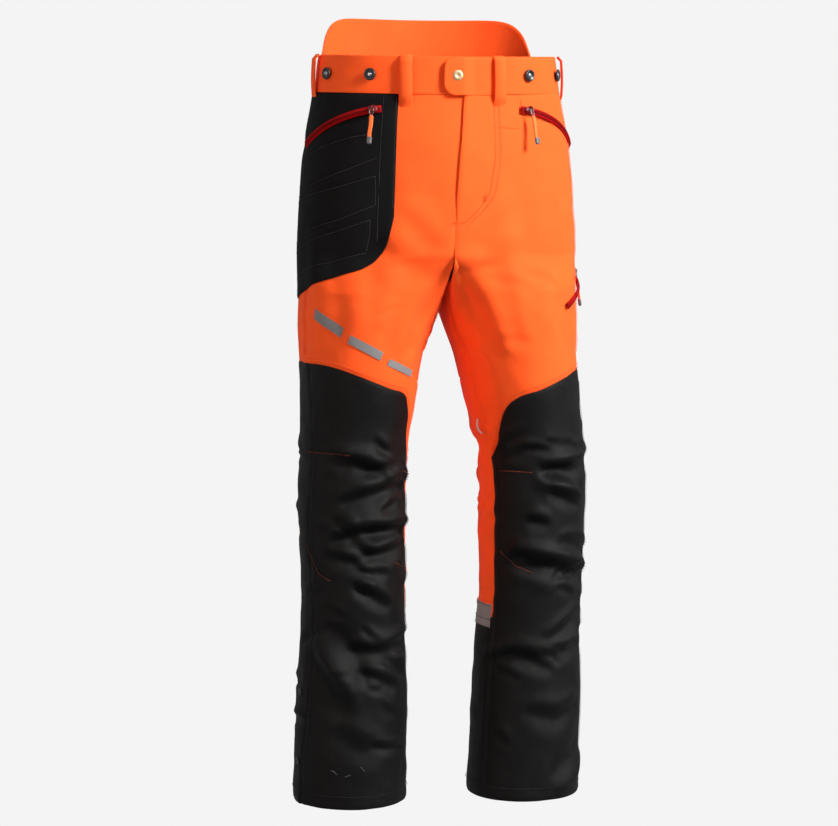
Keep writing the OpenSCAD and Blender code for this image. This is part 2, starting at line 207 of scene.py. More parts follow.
def skin(side, b, z):
    """The plain surface of one half of the trousers."""
    b, z = np.broadcast_arrays(np.asarray(b, float), np.asarray(z, float))
    inner = inner_off(b) < HALF
    c = np.where(b < 90, cosd(2 * (b - CENTRE_FRONT)), -cosd(2 * (b - CENTRE_BACK)))
    middle = np.stack([side * 0.0004 + 0 * b, -hip_depth(c, z) * c, z + HEM], -1)
    hips = np.where(inner[..., None], middle, hip_point(side * psi_at(b), z))
    a = b + toe(side, z)
    out = side * (leg_centre(z) + leg_width(z) * sind(a))
    leg = np.stack([sway(z) + out, -leg_depth(z) * cosd(a), z + HEM], -1)
    t = np.clip((crotch_at(b) - z) / 0.1, 0, 1)
    m = (1 - (1 - t) ** 2)[..., None]
    return hips + (leg - hips) * m


def unit(v):
    return v / np.maximum(np.linalg.norm(v, axis=-1, keepdims=True), 1e-12)


def normal(side, b, z):
    """Outward direction of the plain surface, a little smoothed."""
    db, dz = 2.0, 0.006
    above = (z > CROTCH_Z + 0.5 * CROTCH_RISE) & (inner_off(b) > HALF - 0.01)
    low = np.where(above & (b < 90), CENTRE_FRONT, -1e9)
    high = np.where(above & (b > 90), CENTRE_BACK, 1e9)
    across = skin(side, np.minimum(b + db, high), z) - skin(side, np.maximum(b - db, low), z)
    along = skin(side, b, z + dz) - skin(side, b, z - dz)
    return unit(np.cross(across, along) * side)


# ---- folds ----
# Each fold: width, height (negative for a valley), and (angle, height) points along it
FOLDS = {
    RIGHT: [
        (.011, -.0065, [(40, .497), (0, .486), (-28, .468)]),
        (.012, -.0060, [(28, .432), (-8, .446), (-45, .456), (-74, .452)]),
        (.008, -.0035, [(-18, .418), (-46, .438)]),
        (.009, -.0040, [(32, .412), (8, .398)]),
        (.012, -.0085, [(38, .374), (6, .391), (-38, .392), (-76, .388)]),
        (.011, -.0080, [(20, .383), (-10, .358), (-40, .366), (-73, .378)]),
        (.010, -.0045, [(44, .362), (-4, .348)]),
        (.009, -.0035, [(14, .322), (-10, .304)]),
        (.010, -.0045, [(8, .316), (-32, .284)]),
        (.012, -.0050, [(18, .226), (-28, .220), (-80, .238)]),
        (.010, -.0040, [(6, .196), (-44, .168)]),
        (.010, -.0035, [(-24, .212), (-62, .184)]),
        (.020, .0065, [(56, .248), (30, .205), (6, .160)]),
        (.018, -.0045, [(62, .214), (36, .170), (14, .128)]),
        (.016, -.0030, [(30, .115), (4, .085), (-30, .080)]),
    ],
    LEFT: [
        (.012, -.0065, [(-20, .476), (20, .474), (62, .482)]),
        (.014, .0050, [(-26, .466), (6, .452), (32, .430)]),
        (.010, -.0060, [(-12, .449), (12, .436), (32, .422)]),
        (.010, -.0040, [(0, .374), (30, .366), (62, .350)]),
        (.013, -.0085, [(-54, .352), (-40, .348), (10, .332), (64, .312)]),
        (.009, -.0040, [(-36, .405), (-8, .398)]),
        (.010, -.0045, [(-18, .216), (20, .212), (60, .220)]),
        (.011, -.0050, [(-10, .228), (28, .252), (62, .288)]),
        (.012, -.0050, [(-58, .212), (-28, .206), (4, .188)]),
        (.018, .0045, [(66, .060), (38, .030), (8, .012)]),
        (.014, -.0035, [(-30, .130), (10, .115), (44, .135)]),
    ],
}
# Folds of the hips and thighs, alike on both sides
UPPER_FOLDS = [
    (.020, .0019, [(-42, .800), (-30, .720), (-22, .640)]),
    (.018, -.0019, [(-52, .770), (-42, .700), (-36, .630)]),
    (.022, .0017, [(-18, .900), (-10, .780), (-6, .670)]),
    (.016, -.0017, [(-44, .748), (-20, .762), (6, .800)]),
    (.016, -.0014, [(-46, .770), (-26, .800), (-6, .850)]),
    (.022, -.0014, [(30, .820), (36, .740), (34, .650)]),
    (.020, .0013, [(52, .800), (54, .720), (50, .640)]),
    (.018, -.0017, [(-60, .720), (-62, .640), (-58, .570)]),
    (.018, -.0026, [(218, .812), (190, .792), (150, .800)]),
    (.016, -.0023, [(222, .770), (196, .742), (160, .735)]),
    (.016, -.0021, [(236, .742), (214, .700), (180, .672)]),
    (.024, .0026, [(150, .760), (158, .680), (165, .600)]),
    (.022, -.0026, [(180, .700), (186, .640), (184, .560)]),
]
# Folds behind the knees and down the calves
BACK_FOLDS = [
    (.012, -.0070, [(110, .455), (150, .440), (200, .452), (250, .440)]),
    (.012, -.0075, [(96, .405), (140, .412), (190, .398), (240, .410)]),
    (.011, -.0060, [(118, .372), (160, .362), (215, .376)]),
    (.011, -.0045, [(150, .330), (190, .318), (236, .330)]),
    (.012, -.0045, [(104, .500), (150, .488), (186, .500)]),
    (.014, -.0045, [(200, .516), (236, .500), (262, .508)]),
    (.016, -.0045, [(120, .180), (170, .150), (220, .162)]),
    (.016, -.0040, [(140, .096), (190, .080), (240, .098)]),
]


FOLD_DEPTH = 1.4
# Below 2 the middle of a fold is creased, not round
FOLD_CREASE = 1.5
# Small random folds: heights they lie between, how many, and how strong
SMALL_FOLDS = (((.27, .53), 26, 1), ((.06, .26), 12, 1), ((.60, .78), 8, 0.35))
# How far the waist sinks all round, and how much further at the front
BACK_DIP, FRONT_DIP = 0.003, 0.006
# Unevenness of all the cloth: height, size of the lumps, and seed
LUMPS = ((0.0022, 0.075, 1), (0.0007, 0.024, 4), (0.00022, 0.009, 7))


def arc_radius(z):
    """Mean radius of the leg, which turns angles into lengths along the cloth."""
    return np.interp(z, [0.6, 0.8], [0.082, 0.128])


def thread_place(b, z, r):
    """Place along the threads, in metres."""
    return np.stack([np.radians(b) * r, z, 0 * z], -1)


def fold(b, z, width, height, points):
    """One fold: a rounded valley or ridge along a curve. Cloth that sags over it is higher on its upper side."""
    path = np.array(points, float)
    fine = np.linspace(0, len(path) - 1, 40)
    pb = np.interp(fine, range(len(path)), path[:, 0])
    pz = np.interp(fine, range(len(path)), path[:, 1])
    kernel = np.hanning(13)[1:-1]
    kernel /= kernel.sum()
    pad = len(kernel) // 2
    pb, pz = (np.convolve(np.pad(p, pad, "edge"), kernel, "valid") for p in (pb, pz))
    r = arc_radius(float(pz.mean()))
    x, y = np.radians(pb) * r, pz
    box = ((np.radians(b) * r > x.min() - 4 * width) & (np.radians(b) * r < x.max() + 4 * width)
           & (z > y.min() - 4 * width) & (z < y.max() + 4 * width))
    out = np.zeros(b.shape)
    if not box.any():
        return out
    gx, gy = np.radians(b[box]) * r, z[box]
    best = np.full(gx.shape, 9.0)
    share, above = np.zeros(gx.shape), np.zeros(gx.shape)
    for i in range(len(x) - 1):
        ex, ey = x[i + 1] - x[i], y[i + 1] - y[i]
        t = np.clip(((gx - x[i]) * ex + (gy - y[i]) * ey) / (ex * ex + ey * ey + 1e-12), 0, 1)
        d = np.hypot(gx - x[i] - t * ex, gy - y[i] - t * ey)
        near = d < best
        best[near], share[near] = d[near], (i + t[near]) / (len(x) - 1)
        above[near] = np.sign(ex * (gy - y[i]) - ey * (gx - x[i]))[near] * (1 if ex >= 0 else -1)
    taper = np.clip(np.sin(np.pi * np.clip(share, 0.001, 0.999)), 0, 1) ** 0.55
    w = width * (0.55 + 0.45 * taper)
    line = np.exp(-(best / w) ** FOLD_CREASE)
    shoulder = np.exp(-((best - 1.7 * w) / (0.9 * w)) ** 2) * smooth(best / w)
    out[box] = FOLD_DEPTH * height * taper * (line - (0.55 + 0.35 * above) * shoulder)
    return out


def noise(b, z, size, seed):
    """Smooth value noise round a leg, from -1 to 1, in lumps of about size metres."""
    rng = np.random.default_rng(seed)
    around = max(4, round(0.6 / size))
    lattice = rng.uniform(-1, 1, (around, 512))
    x, y = np.asarray(b) / 360 * around, np.asarray(z) / size + 8
    i, j = np.floor(x).astype(int), np.floor(y).astype(int)
    u, v = smooth(x - i), smooth(y - j)
    a, c = lattice[i % around, j % 512], lattice[(i + 1) % around, j % 512]
    d, e = lattice[i % around, (j + 1) % 512], lattice[(i + 1) % around, (j + 1) % 512]
    return (a * (1 - u) + c * u) * (1 - v) + (d * (1 - u) + e * u) * v


@functools.cache
def random_folds(side):
    """Small creases between the large ones, at the knees and near the hem."""
    rng = np.random.default_rng(11 + side)
    found = []
    for zone, count, strength in SMALL_FOLDS:
        for _ in range(count):
            b, z = rng.uniform(-80, 280), rng.uniform(*zone)
            turn, rise = rng.uniform(16, 44), rng.uniform(-.03, .03)
            found.append((rng.uniform(.005, .009), -rng.uniform(.0012, .0030) * strength,
                          [(b, z), (b + turn / 2, z + rise * 0.3), (b + turn, z + rise)]))
    return found


def pucker(distance, along, seed):
    """The ripple that a sewn seam draws into the cloth beside it."""
    wave = np.sin(along / 0.0065 + 2.5 * noise(0 * along, along, 0.05, seed))
    return 0.00045 * wave * np.exp(-(distance / 0.010) ** 2)


def relief(side, b, z):
    """How far the cloth stands off the plain shape."""
    r = arc_radius(z)
    out = sum(high * noise(b, z, size, seed + side) for high, size, seed in LUMPS)
    for width, height, points in FOLDS[side] + UPPER_FOLDS + BACK_FOLDS + random_folds(side):
        out += fold(b, z, width, height, points)
        if max(p[0] for p in points) > 250:
            out += fold(b + 360, z, width, height, points)
        if min(p[0] for p in points) < -60:
            out += fold(b - 360, z, width, height, points)
    # The cloth is pulled flatter on the hips
    out *= 1 - 0.55 * np.clip((z - 0.86) / 0.10, 0, 1)
    for seam in (INSEAM, OUTSEAM):
        gap = np.abs((b - seam + 540) % 360 - 180)
        out += pucker(np.radians(gap) * r, z, 100 + seam)
    out += pucker(np.maximum(BAND_LOW - z, 0), np.radians(b) * r * 1.4, 5) * smooth((BAND_LOW - z) / 0.008)
    # The halves meet at the centre seam, and lie close together between the legs
    t = np.clip((inner_off(b) - HALF) / 14, 0, 1)
    centre = np.clip((z - crotch_at(b)) / 0.02, 0, 1)
    crowd = np.exp(-((z - 0.80) / 0.12) ** 2) * np.exp(-(inner_off(b) / 30) ** 2)
    return out * (1 - 0.8 * crowd) * (1 - centre * (1 - smooth(t)))


def dip(psi, z):
    """How far the waist hangs below its level ring, most at the front."""
    return (BACK_DIP + FRONT_DIP * np.clip(cosd(psi), 0, 1) ** 1.5) * smooth((z - 0.90) / 0.10)


def surface(side, b, z, off):
    """A point of the draped cloth, off metres outside it."""
    b, z = np.broadcast_arrays(np.asarray(b, float), np.asarray(z, float))
    hung = z - dip(psi_at(b), z)
    p = skin(side, b, hung) + normal(side, b, hung) * (relief(side, b, z) + off)[..., None]
    # The halves meet on the hips and stand a hair apart between the legs
    p[..., 0] = side * np.maximum(side * p[..., 0], np.where(inner_off(b) > HALF - 0.01, 0.0, 0.0005))
    return p


# ---- mesh making ----
def spread(length, fine=True):
    """Shares from 0 to 1, about STEP apart, and closer at both ends."""
    if not fine:
        return np.linspace(0, 1, max(2, math.ceil(length / STEP)) + 1)
    ends = np.array([0, 0.0011, 0.0026]) / length
    inner = np.linspace(ends[-1], 1 - ends[-1], max(2, math.ceil(length / STEP)) + 1)
    return np.concatenate([ends[:-1], inner, 1 - ends[-2::-1]])


def vertex_normals(points, faces):
    """Normals of a quad mesh, by area."""
    a, b, c, d = (points[faces[:, k]] for k in range(4))
    flat = np.cross(c - a, d - b)
    out = np.zeros_like(points)
    for k in range(4):
        np.add.at(out, faces[:, k], flat)
    return unit(out)


def rim(faces):
    """Directed edges that only one face has."""
    edges = np.concatenate([faces[:, [k, (k + 1) % 4]] for k in range(4)])
    keys = dict.fromkeys(map(tuple, edges.tolist()))
    return [(i, j) for i, j in keys if (j, i) not in keys]


def thicken(points, faces, thick):
    """Closes a quad sheet into a shell that is thick metres deep on its inner side."""
    n = len(points)
    inner = points - vertex_normals(points, faces) * thick
    back = faces[:, ::-1] + n
    edge = rim(faces)
    walls = np.array([[j, i, i + n, j + n] for i, j in edge])
    return np.concatenate([points, inner]), np.concatenate([faces, back, walls]), edge


def new_object(name, points, faces, material, cloth=None, sharp=()):
    """A smooth-shaded mesh object. cloth is a coordinate along the threads, in metres."""
    mesh = bpy.data.meshes.new(name)
    faces = [tuple(f) for f in faces.tolist()] if isinstance(faces, np.ndarray) else faces
    mesh.from_pydata(np.asarray(points).tolist(), [], faces)
    mesh.polygons.foreach_set("use_smooth", np.ones(len(mesh.polygons), bool))
    if cloth is not None:
        data = mesh.attributes.new("cloth", "FLOAT_VECTOR", "POINT")
        data.data.foreach_set("vector", np.asarray(cloth, np.float32).ravel())
    if len(sharp):
        wanted = {tuple(sorted(e)) for e in sharp}
        keys = np.zeros(len(mesh.edges) * 2, int)
        mesh.edges.foreach_get("vertices", keys)
        flags = [tuple(sorted(e)) in wanted for e in keys.reshape(-1, 2).tolist()]
        mark = mesh.attributes.new("sharp_edge", "BOOLEAN", "EDGE")
        mark.data.foreach_set("value", flags)
    mesh.materials.append(material)
    mesh.update()
    return add_object(name, mesh)


def grid_faces(mask, flip):
    """Quads of a grid whose points are used where mask is true."""
    number = np.cumsum(mask.ravel()).reshape(mask.shape) - 1
    whole = mask[:-1, :-1] & mask[1:, :-1] & mask[1:, 1:] & mask[:-1, 1:]
    i, j = np.nonzero(whole)
    quads = np.stack([number[i, j], number[i + 1, j], number[i + 1, j + 1], number[i, j + 1]], -1)
    return quads[:, ::-1] if flip else quads


def shell(name, grid, mask, flip, material, thick, cloth):
    """A closed piece of cloth from a grid of points."""
    points, faces = grid[mask], grid_faces(mask, flip)
    shell_points, shell_faces, edge = thicken(points, faces, thick)
    n = len(points)
    sharp = list(edge) + [(i + n, j + n) for i, j in edge]
    return new_object(name, shell_points, shell_faces, material, np.concatenate([cloth[mask]] * 2), sharp)


def tucked(distance):
    """The edge of a panel turns in towards its seam."""
    return -0.0012 * np.exp(-(distance / 0.0022) ** 2)


def as_functions(*values):
    """Numbers turned into functions that always give them."""
    return [f if callable(f) else (lambda _, v=f: v) for f in values]


def panel(name, side, left, right, low, high, material, off=0.0, thick=CLOTH, extra=None, fine=True):
    """A panel between two angles and two heights, each a number or a function of the other coordinate."""
    left_at, right_at, low_at, high_at = as_functions(left, right, low, high)
    z_mid = (low_at(0.0) + high_at(0.0)) / 2
    width = math.radians(float(np.max(right_at(z_mid)) - np.min(left_at(z_mid)))) * float(arc_radius(z_mid))
    height = float(high_at(0.0) - low_at(0.0))
    u, v = np.meshgrid(spread(width, fine), spread(height, fine), indexing="ij")
    b = left_at(z_mid) + (right_at(z_mid) - left_at(z_mid)) * u
    for _ in range(3):
        z = low_at(b) + (high_at(b) - low_at(b)) * v
        b = left_at(z) + (right_at(z) - left_at(z)) * u
    distance = np.minimum(np.minimum(u, 1 - u) * width, np.minimum(z - low_at(b), high_at(b) - z))
    lift = off + tucked(distance) * fine + (extra(b, z) if extra else 0)
    cloth = thread_place(b, z, arc_radius(z))
    return shell(name, surface(side, b, z, lift), np.ones(b.shape, bool), side < 0, material, thick, cloth)


def upper_panel(name, side, b0, b1, low_at):
    """An orange panel that runs from the leg over the hip. Past the crotch curve it only covers the outside."""
    front = b0 < 0
    centre, seam, free = (CENTRE_FRONT, b1, b0) if front else (CENTRE_BACK, b0, b1)
    r = 0.11
    outer = spread(math.radians(abs(seam - centre)) * r)
    inner = spread(math.radians(abs(free - centre)) * r, False)
    if front:
        b = np.concatenate([b0 + (centre - b0) * inner[:-1], centre + (b1 - centre) * outer])
    else:
        b = np.concatenate([b0 + (centre - b0) * outer, centre + (b1 - centre) * inner[1:]])
    crotch = crotch_at(b)
    lower = spread(CROTCH_Z + 0.03 - float(np.mean(low_at(b))))
    lower = lower[:-2] / lower[-3]
    upper = spread(SEWN_TOP - CROTCH_Z - CROTCH_RISE)[2:]
    upper = (upper - upper[0]) / (1 - upper[0])
    low_z = low_at(b)[:, None] + (crotch - low_at(b))[:, None] * lower[None, :]
    high_z = crotch[:, None] + (SEWN_TOP - crotch)[:, None] * upper[None, 1:]
    z = np.concatenate([low_z, high_z], 1)
    b = np.repeat(b[:, None], z.shape[1], 1)
    inside = inner_off(b) < HALF - 0.001
    mask = ~(inside & (np.arange(z.shape[1])[None, :] >= len(lower)))
    # The edges tuck in, but not at the front centre above the foot of the fly
    free_at = np.where(z > crotch[:, None] - 1e-6, centre, free)
    free_at = np.where(front & (z > FLY_LOW), 1e4, free_at)
    ceiling = np.where(inside, crotch[:, None], SEWN_TOP)
    distance = np.minimum(np.minimum(np.abs(b - free_at), np.abs(b - seam)) * np.pi / 180 * arc_radius(z),
                          np.minimum(ceiling - z, z - low_at(b)))
    grid = surface(side, b, z, tucked(np.maximum(distance, 0)))
    return shell(name, grid, mask, side < 0, ORANGE, CLOTH, thread_place(b, z, arc_radius(z)))


def cross_hip(obj, side):
    """A piece between the waist and a thigh, with its placement baked into its mesh."""
    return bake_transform(obj)


def cross_knee(obj, side):
    """A piece between a thigh and a shin, with its placement baked into its mesh."""
    x = side * float(leg_centre(KNEE_Z))
    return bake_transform(obj)


def stand_for(obj, slot, *nodes):
    """Hides the CAD nodes that a piece replaces. The slot is not used."""
    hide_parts(*nodes)
    return obj


# ---- materials ----
class Graph:
    """A material's nodes."""

    def __init__(self, name):
        self.material = bpy.data.materials.new(name)
        self.material.use_nodes = True
        self.nodes = self.material.node_tree.nodes

    def put(self, node, **inputs):
        """Sets or links a node's inputs, whose names have _ for a space."""
        for name, value in inputs.items():
            self.put_at(node.inputs[name.replace("_", " ")], value)
        return node

    def put_at(self, socket, value):
        if isinstance(value, bpy.types.NodeSocket):
            self.material.node_tree.links.new(value, socket)
        else:
            socket.default_value = value

    def noise(self, scale, detail, **inputs):
        node = self.nodes.new("ShaderNodeTexNoise")
        return self.put(node, Scale=scale, Detail=detail, **inputs).outputs["Fac"]

    def math(self, kind, *values):
        node = self.nodes.new("ShaderNodeMath")
        node.operation = kind
        for socket, value in zip(node.inputs, values):
            self.put_at(socket, value)
        return node.outputs[0]

    def ramp(self, factor, *stops):
        """Colours at evenly or unevenly spaced positions of a factor."""
        node = self.nodes.new("ShaderNodeValToRGB")
        ends = node.color_ramp.elements
        for end, (position, color) in zip((ends[0], ends[1]), (stops[0], stops[-1])):
            end.position, end.color = position, (*color, 1)
        for position, color in stops[1:-1]:
            ends.new(position).color = (*color, 1)
        return self.put(node, Fac=factor).outputs["Color"]

    def bump(self, strength, distance, height):
        node = self.nodes.new("ShaderNodeBump")
        return self.put(node, Strength=strength, Distance=distance, Height=height).outputs["Normal"]


def cloth_material(name, color, rough, vary=0.10, sheen=0.25, pitch=0.0011, bump=0.35, rib=1.0, fleck=0.06,
                   shine=0.2):
    """Woven cloth: two crossing sets of threads, flecks of single threads, and soft uneven dye."""
    graph = Graph(name)
    place = graph.nodes.new("ShaderNodeAttribute")
    place.attribute_name = "cloth"
    vector = place.outputs["Vector"]
    waves = []
    for axis, scale in (("X", 1.0), ("Y", rib)):
        wave = graph.nodes.new("ShaderNodeTexWave")
        wave.bands_direction = axis
        graph.put(wave, Scale=scale * 0.314 / pitch, Distortion=1.2, Detail=1.0, Detail_Scale=2.0, Vector=vector)
        waves.append(wave.outputs["Fac"])
    weave = graph.math("MULTIPLY", *waves)
    fine = graph.noise(900, 2.0, Vector=vector)
    cloud = graph.noise(26, 4.0, Vector=vector)
    flecks = graph.math("MULTIPLY_ADD", fine, fleck * 4, -fleck * 2)
    clouds = graph.math("MULTIPLY_ADD", cloud, vary * 4, 0.5 - vary * 2)
    threads = graph.math("MULTIPLY_ADD", weave, vary, -vary * 0.3)
    total = graph.math("ADD", graph.math("ADD", flecks, clouds), threads)
    dark, light = ([c * f for c in color] for f in (0.55, 1.45))
    height = graph.math("ADD", weave, graph.math("MULTIPLY", fine, 0.7))
    graph.put(graph.nodes["Principled BSDF"], Base_Color=graph.ramp(total, (0.0, dark), (0.5, color), (1.0, light)),
              Normal=graph.bump(bump, 0.0004, height), Roughness=rough, Sheen_Weight=sheen, Sheen_Roughness=0.5,
              Specular_IOR_Level=shine)
    return graph.material


def hard_material(name, color, rough, metallic=0.0, vary=0.15, scale=400, bump=0.1, sheen=0.0, shine=0.5):
    """Metal, plastic or cord: an even body with fine wear in colour and gloss."""
    graph = Graph(name)
    grain = graph.noise(scale, 4.0, Vector=graph.nodes.new("ShaderNodeTexCoord").outputs["Object"])
    dark, light = ([c * f for c in color] for f in (1 - vary, 1 + vary))
    graph.put(graph.nodes["Principled BSDF"], Base_Color=graph.ramp(grain, (0.25, dark), (0.75, light)),
              Roughness=graph.math("MULTIPLY_ADD", grain, 0.2, rough - 0.1), Normal=graph.bump(bump, 0.0002, grain),
              Metallic=metallic, Specular_IOR_Level=shine, Sheen_Weight=sheen)
    return graph.material


def thread_material(name, color):
    return hard_material(name, color, 0.8, scale=2500, bump=0.4)


ORANGE_DYE, BLACK_DYE = (0.97, 0.098, 0.011), (0.0020, 0.0021, 0.0023)
ORANGE = cloth_material("orange_cloth", ORANGE_DYE, vary=0.05, rough=0.8, sheen=0.02, bump=0.25)
BAND = cloth_material("band_cloth", ORANGE_DYE, vary=0.05, rough=0.8, sheen=0.02, pitch=0.0013, bump=0.3)
RAISE = cloth_material("raise_cloth", (0.97, 0.095, 0.011), vary=0.06, rough=0.8, sheen=0.02, pitch=0.0013,
                       bump=0.3)
BLACK = cloth_material("black_cloth", BLACK_DYE, vary=0.16, rough=0.60, sheen=0.004, pitch=0.0014, bump=0.5,
                       fleck=0.12, shine=0.16)
QUILT = cloth_material("quilt_cloth", (0.0026, 0.0027, 0.0030), vary=0.12, rough=0.75, sheen=0.006, pitch=0.0012,
                       shine=0.12)
MESH = cloth_material("lining_knit", (0.030, 0.030, 0.033), vary=0.3, rough=0.9, pitch=0.003, bump=0.9, rib=0.7)
POCKET = cloth_material("pocket_cloth", (0.05, 0.05, 0.055), rough=0.9)
PACK = cloth_material("pack_fibre", (0.60, 0.50, 0.22), vary=0.2, rough=0.95, pitch=0.003, bump=0.9, rib=0.3)
TAPE = cloth_material("reflective_cloth", (0.23, 0.23, 0.235), vary=0.06, rough=0.42, sheen=0.0, pitch=0.0009)
PRINT = cloth_material("reflective_print", (0.20, 0.195, 0.20), vary=0.06, rough=0.5, sheen=0.0)
ZIP_RED = hard_material("zip_red", (0.30, 0.0008, 0.002), 0.85, vary=0.25, scale=900, bump=0.2, shine=0.1)
TEETH = hard_material("zip_teeth", (0.24, 0.0008, 0.002), 0.7, vary=0.2, scale=900, shine=0.15)
METAL = hard_material("zip_metal", (0.16, 0.16, 0.165), 0.35, metallic=1.0)
SLIDER = hard_material("zip_slider", (0.17, 0.004, 0.006), 0.45, shine=0.4)
BRASS = hard_material("snap_brass", (0.56, 0.40, 0.23), 0.48, metallic=0.75, vary=0.1)
BUTTON = hard_material("button_lacquer", (0.012, 0.012, 0.014), 0.32, vary=0.2)
SILVER = hard_material("button_silver", (0.33, 0.36, 0.42), 0.3, metallic=1.0)
SNAP_DARK = hard_material("dark_snap", (0.03, 0.03, 0.033), 0.35, metallic=0.8)
CORD = hard_material("pull_cord", (0.86, 0.14, 0.02), 0.8, scale=1500, bump=0.5)
TIP = hard_material("pull_tip", (0.10, 0.10, 0.105), 0.5, scale=700)
PALE = hard_material("pale_cord", (0.75, 0.75, 0.73), 0.8, scale=1500, bump=0.5, sheen=0.3)
THREAD_ORANGE = thread_material("orange_thread", (0.30, 0.055, 0.015))
THREAD_ORANGE_SHELL = thread_material("shell_thread", (0.88, 0.10, 0.012))
THREAD_GREY = thread_material("grey_thread", (0.042, 0.042, 0.045))
THREAD_BLACK = thread_material("black_thread", (0.010, 0.010, 0.011))

# ---- thread ----
STITCH, GAP = 0.0030, 0.0010


def resample(points, pitch):
    """Points pitch metres apart along a line, and the direction at each."""
    points = np.asarray(points, float)
    at = np.concatenate([[0], np.cumsum(np.linalg.norm(np.diff(points, axis=0), axis=1))])
    wanted = np.arange(pitch / 2, at[-1], pitch)
    here, ahead, behind = (np.stack([np.interp(wanted + shift, at, points[:, k]) for k in range(3)], -1)
                           for shift in (0, pitch * 0.3, -pitch * 0.3))
    return here, unit(ahead - behind)


def stitches(name, lines, material, radius=0.00042):
    """Rows of stitches as one mesh. Each line is (points, outward directions)."""
    verts, faces = [], []
    # A stitch: place along it, whether it is a ring or a point, and height in radii
    shape = [(-0.5, False, -0.6), (-0.28, True, 0.35), (0.28, True, 0.35), (0.5, False, -0.6)]
    for points, outward in lines:
        here, along = resample(points, STITCH + GAP)
        if not len(here):
            continue
        out = np.asarray(outward, float)
        out = unit(np.stack([np.interp(np.linspace(0, 1, len(here)), np.linspace(0, 1, len(out)), out[:, k])
                             for k in range(3)], -1))
        across = unit(np.cross(along, out))
        for p, t, n, w in zip(here, along, out, across):
            base = len(verts)
            for place, wide, lift in shape:
                centre = p + t * place * STITCH + n * lift * radius
                if wide:
                    verts.extend(centre + radius * (w * math.cos(a) + n * math.sin(a))
                                 for a in (0, math.pi / 2, math.pi, 3 * math.pi / 2))
                else:
                    verts.append(centre)
            ring = [(k, (k + 1) % 4) for k in range(4)]
            faces += [(base, base + 1 + q, base + 1 + k) for k, q in ring]
            faces += [(base + 1 + k, base + 1 + q, base + 5 + q, base + 5 + k) for k, q in ring]
            faces += [(base + 9, base + 5 + k, base + 5 + q) for k, q in ring]
    return new_object(name, verts, faces, material)


def cloth_line(side, b, z, off):
    """A line off metres above the draped cloth, and its outward directions."""
    return surface(side, b, z, off), normal(side, b, z)


def on_cloth(side, path, off):
    """A line on the draped cloth through (angle, height) points."""
    path = np.array(path, float)
    share = np.linspace(0, len(path) - 1, 120)
    b, z = (np.interp(share, range(len(path)), path[:, k]) for k in (0, 1))
    return cloth_line(side, b, z, off)


def along_seam(side, b_at, low, high, off):
    """A line up the cloth at an angle, which is a number or a function of height."""
    z = np.linspace(low, high, 160)
    b = b_at(z) if callable(b_at) else b_at + 0 * z
    return cloth_line(side, b, z, off)


def along_edge(side, z_at, b0, b1, off, count=160):
    """A line round the cloth at a height, which is a number or a function of the angle."""
    b = np.linspace(b0, b1, count)
    z = z_at(b) if callable(z_at) else z_at + 0 * b
    return cloth_line(side, b, z, off)


def offset_b(b, z, metres):
    """An angle moved sideways by a distance."""
    return b + np.degrees(metres / arc_radius(z))


def beside(b_at, metres):
    """The line metres beside another, which is an angle or a function of height."""
    return lambda z: offset_b(b_at(z) if callable(b_at) else b_at, z, metres)


def bartack(side, b, z, length, off, lean=0.0):
    """A dense bar of stitches across a seam's end."""
    t = np.linspace(-0.5, 0.5, 24)
    zig = 0.0011 * (-1.0) ** np.arange(24)
    return (surface(side, offset_b(b, z, length * t * math.cos(lean) + zig * math.sin(lean)),
                    z + length * t * math.sin(lean) + zig * math.cos(lean), off),
            normal(side, b + 0 * t, z + 0 * t))


# ---- outer cloth ----
SIDE_EDGE = {RIGHT: 110, LEFT: 104}
NOTCH, NOTCH_Z, NOTCH_SPAN = {RIGHT: 19, LEFT: 0}, 0.388, 0.012
DART_WIDTH, DART_DEPTH = 0.0035, 0.0014


def cover_side(side):
    """Outer edge of the black cover. On the right leg the orange knee back shows through a notch."""
    def edge(z):
        return SIDE_EDGE[side] - NOTCH[side] * np.exp(-((np.asarray(z) - NOTCH_Z) / NOTCH_SPAN) ** 2)
    return edge


def side_line(z):
    """Angle of the deep seam that runs down the outside of the black cover."""
    return np.interp(z, [.05, .14, .25, .405, .45, .525, .625], [68, 60, 59, 64, 61, 60, 66])


def side_groove(b, z):
    gap = np.radians(b - side_line(z)) * arc_radius(z)
    return -0.0016 * np.exp(-(gap / 0.0028) ** 2) + 0.0007 * np.exp(-((np.abs(gap) - 0.005) / 0.003) ** 2)


DARTS = {
    RIGHT: [[(70, .505), (40, .506), (14, .505)], [(69, .375), (50, .335), (34, .325)],
            [(-67, .470), (-42, .480)], [(-53, .340), (-39, .350)]],
    LEFT: [[(-62, .475), (-44, .476), (-26, .475)], [(-63, .360), (-46, .340), (-26, .330)],
           [(59, .500), (64, .500)]],
}


def cover_relief(side):
    """The side seam, a swell at its outer side, and the pinched darts."""
    def lift(b, z):
        out = side_groove(b, z) + 0.0007 * smooth((b - OUTSEAM + 4) / 5)
        for path in DARTS[side]:
            out = out + fold(b, z, DART_WIDTH, -DART_DEPTH, path)
        return out
    return lift


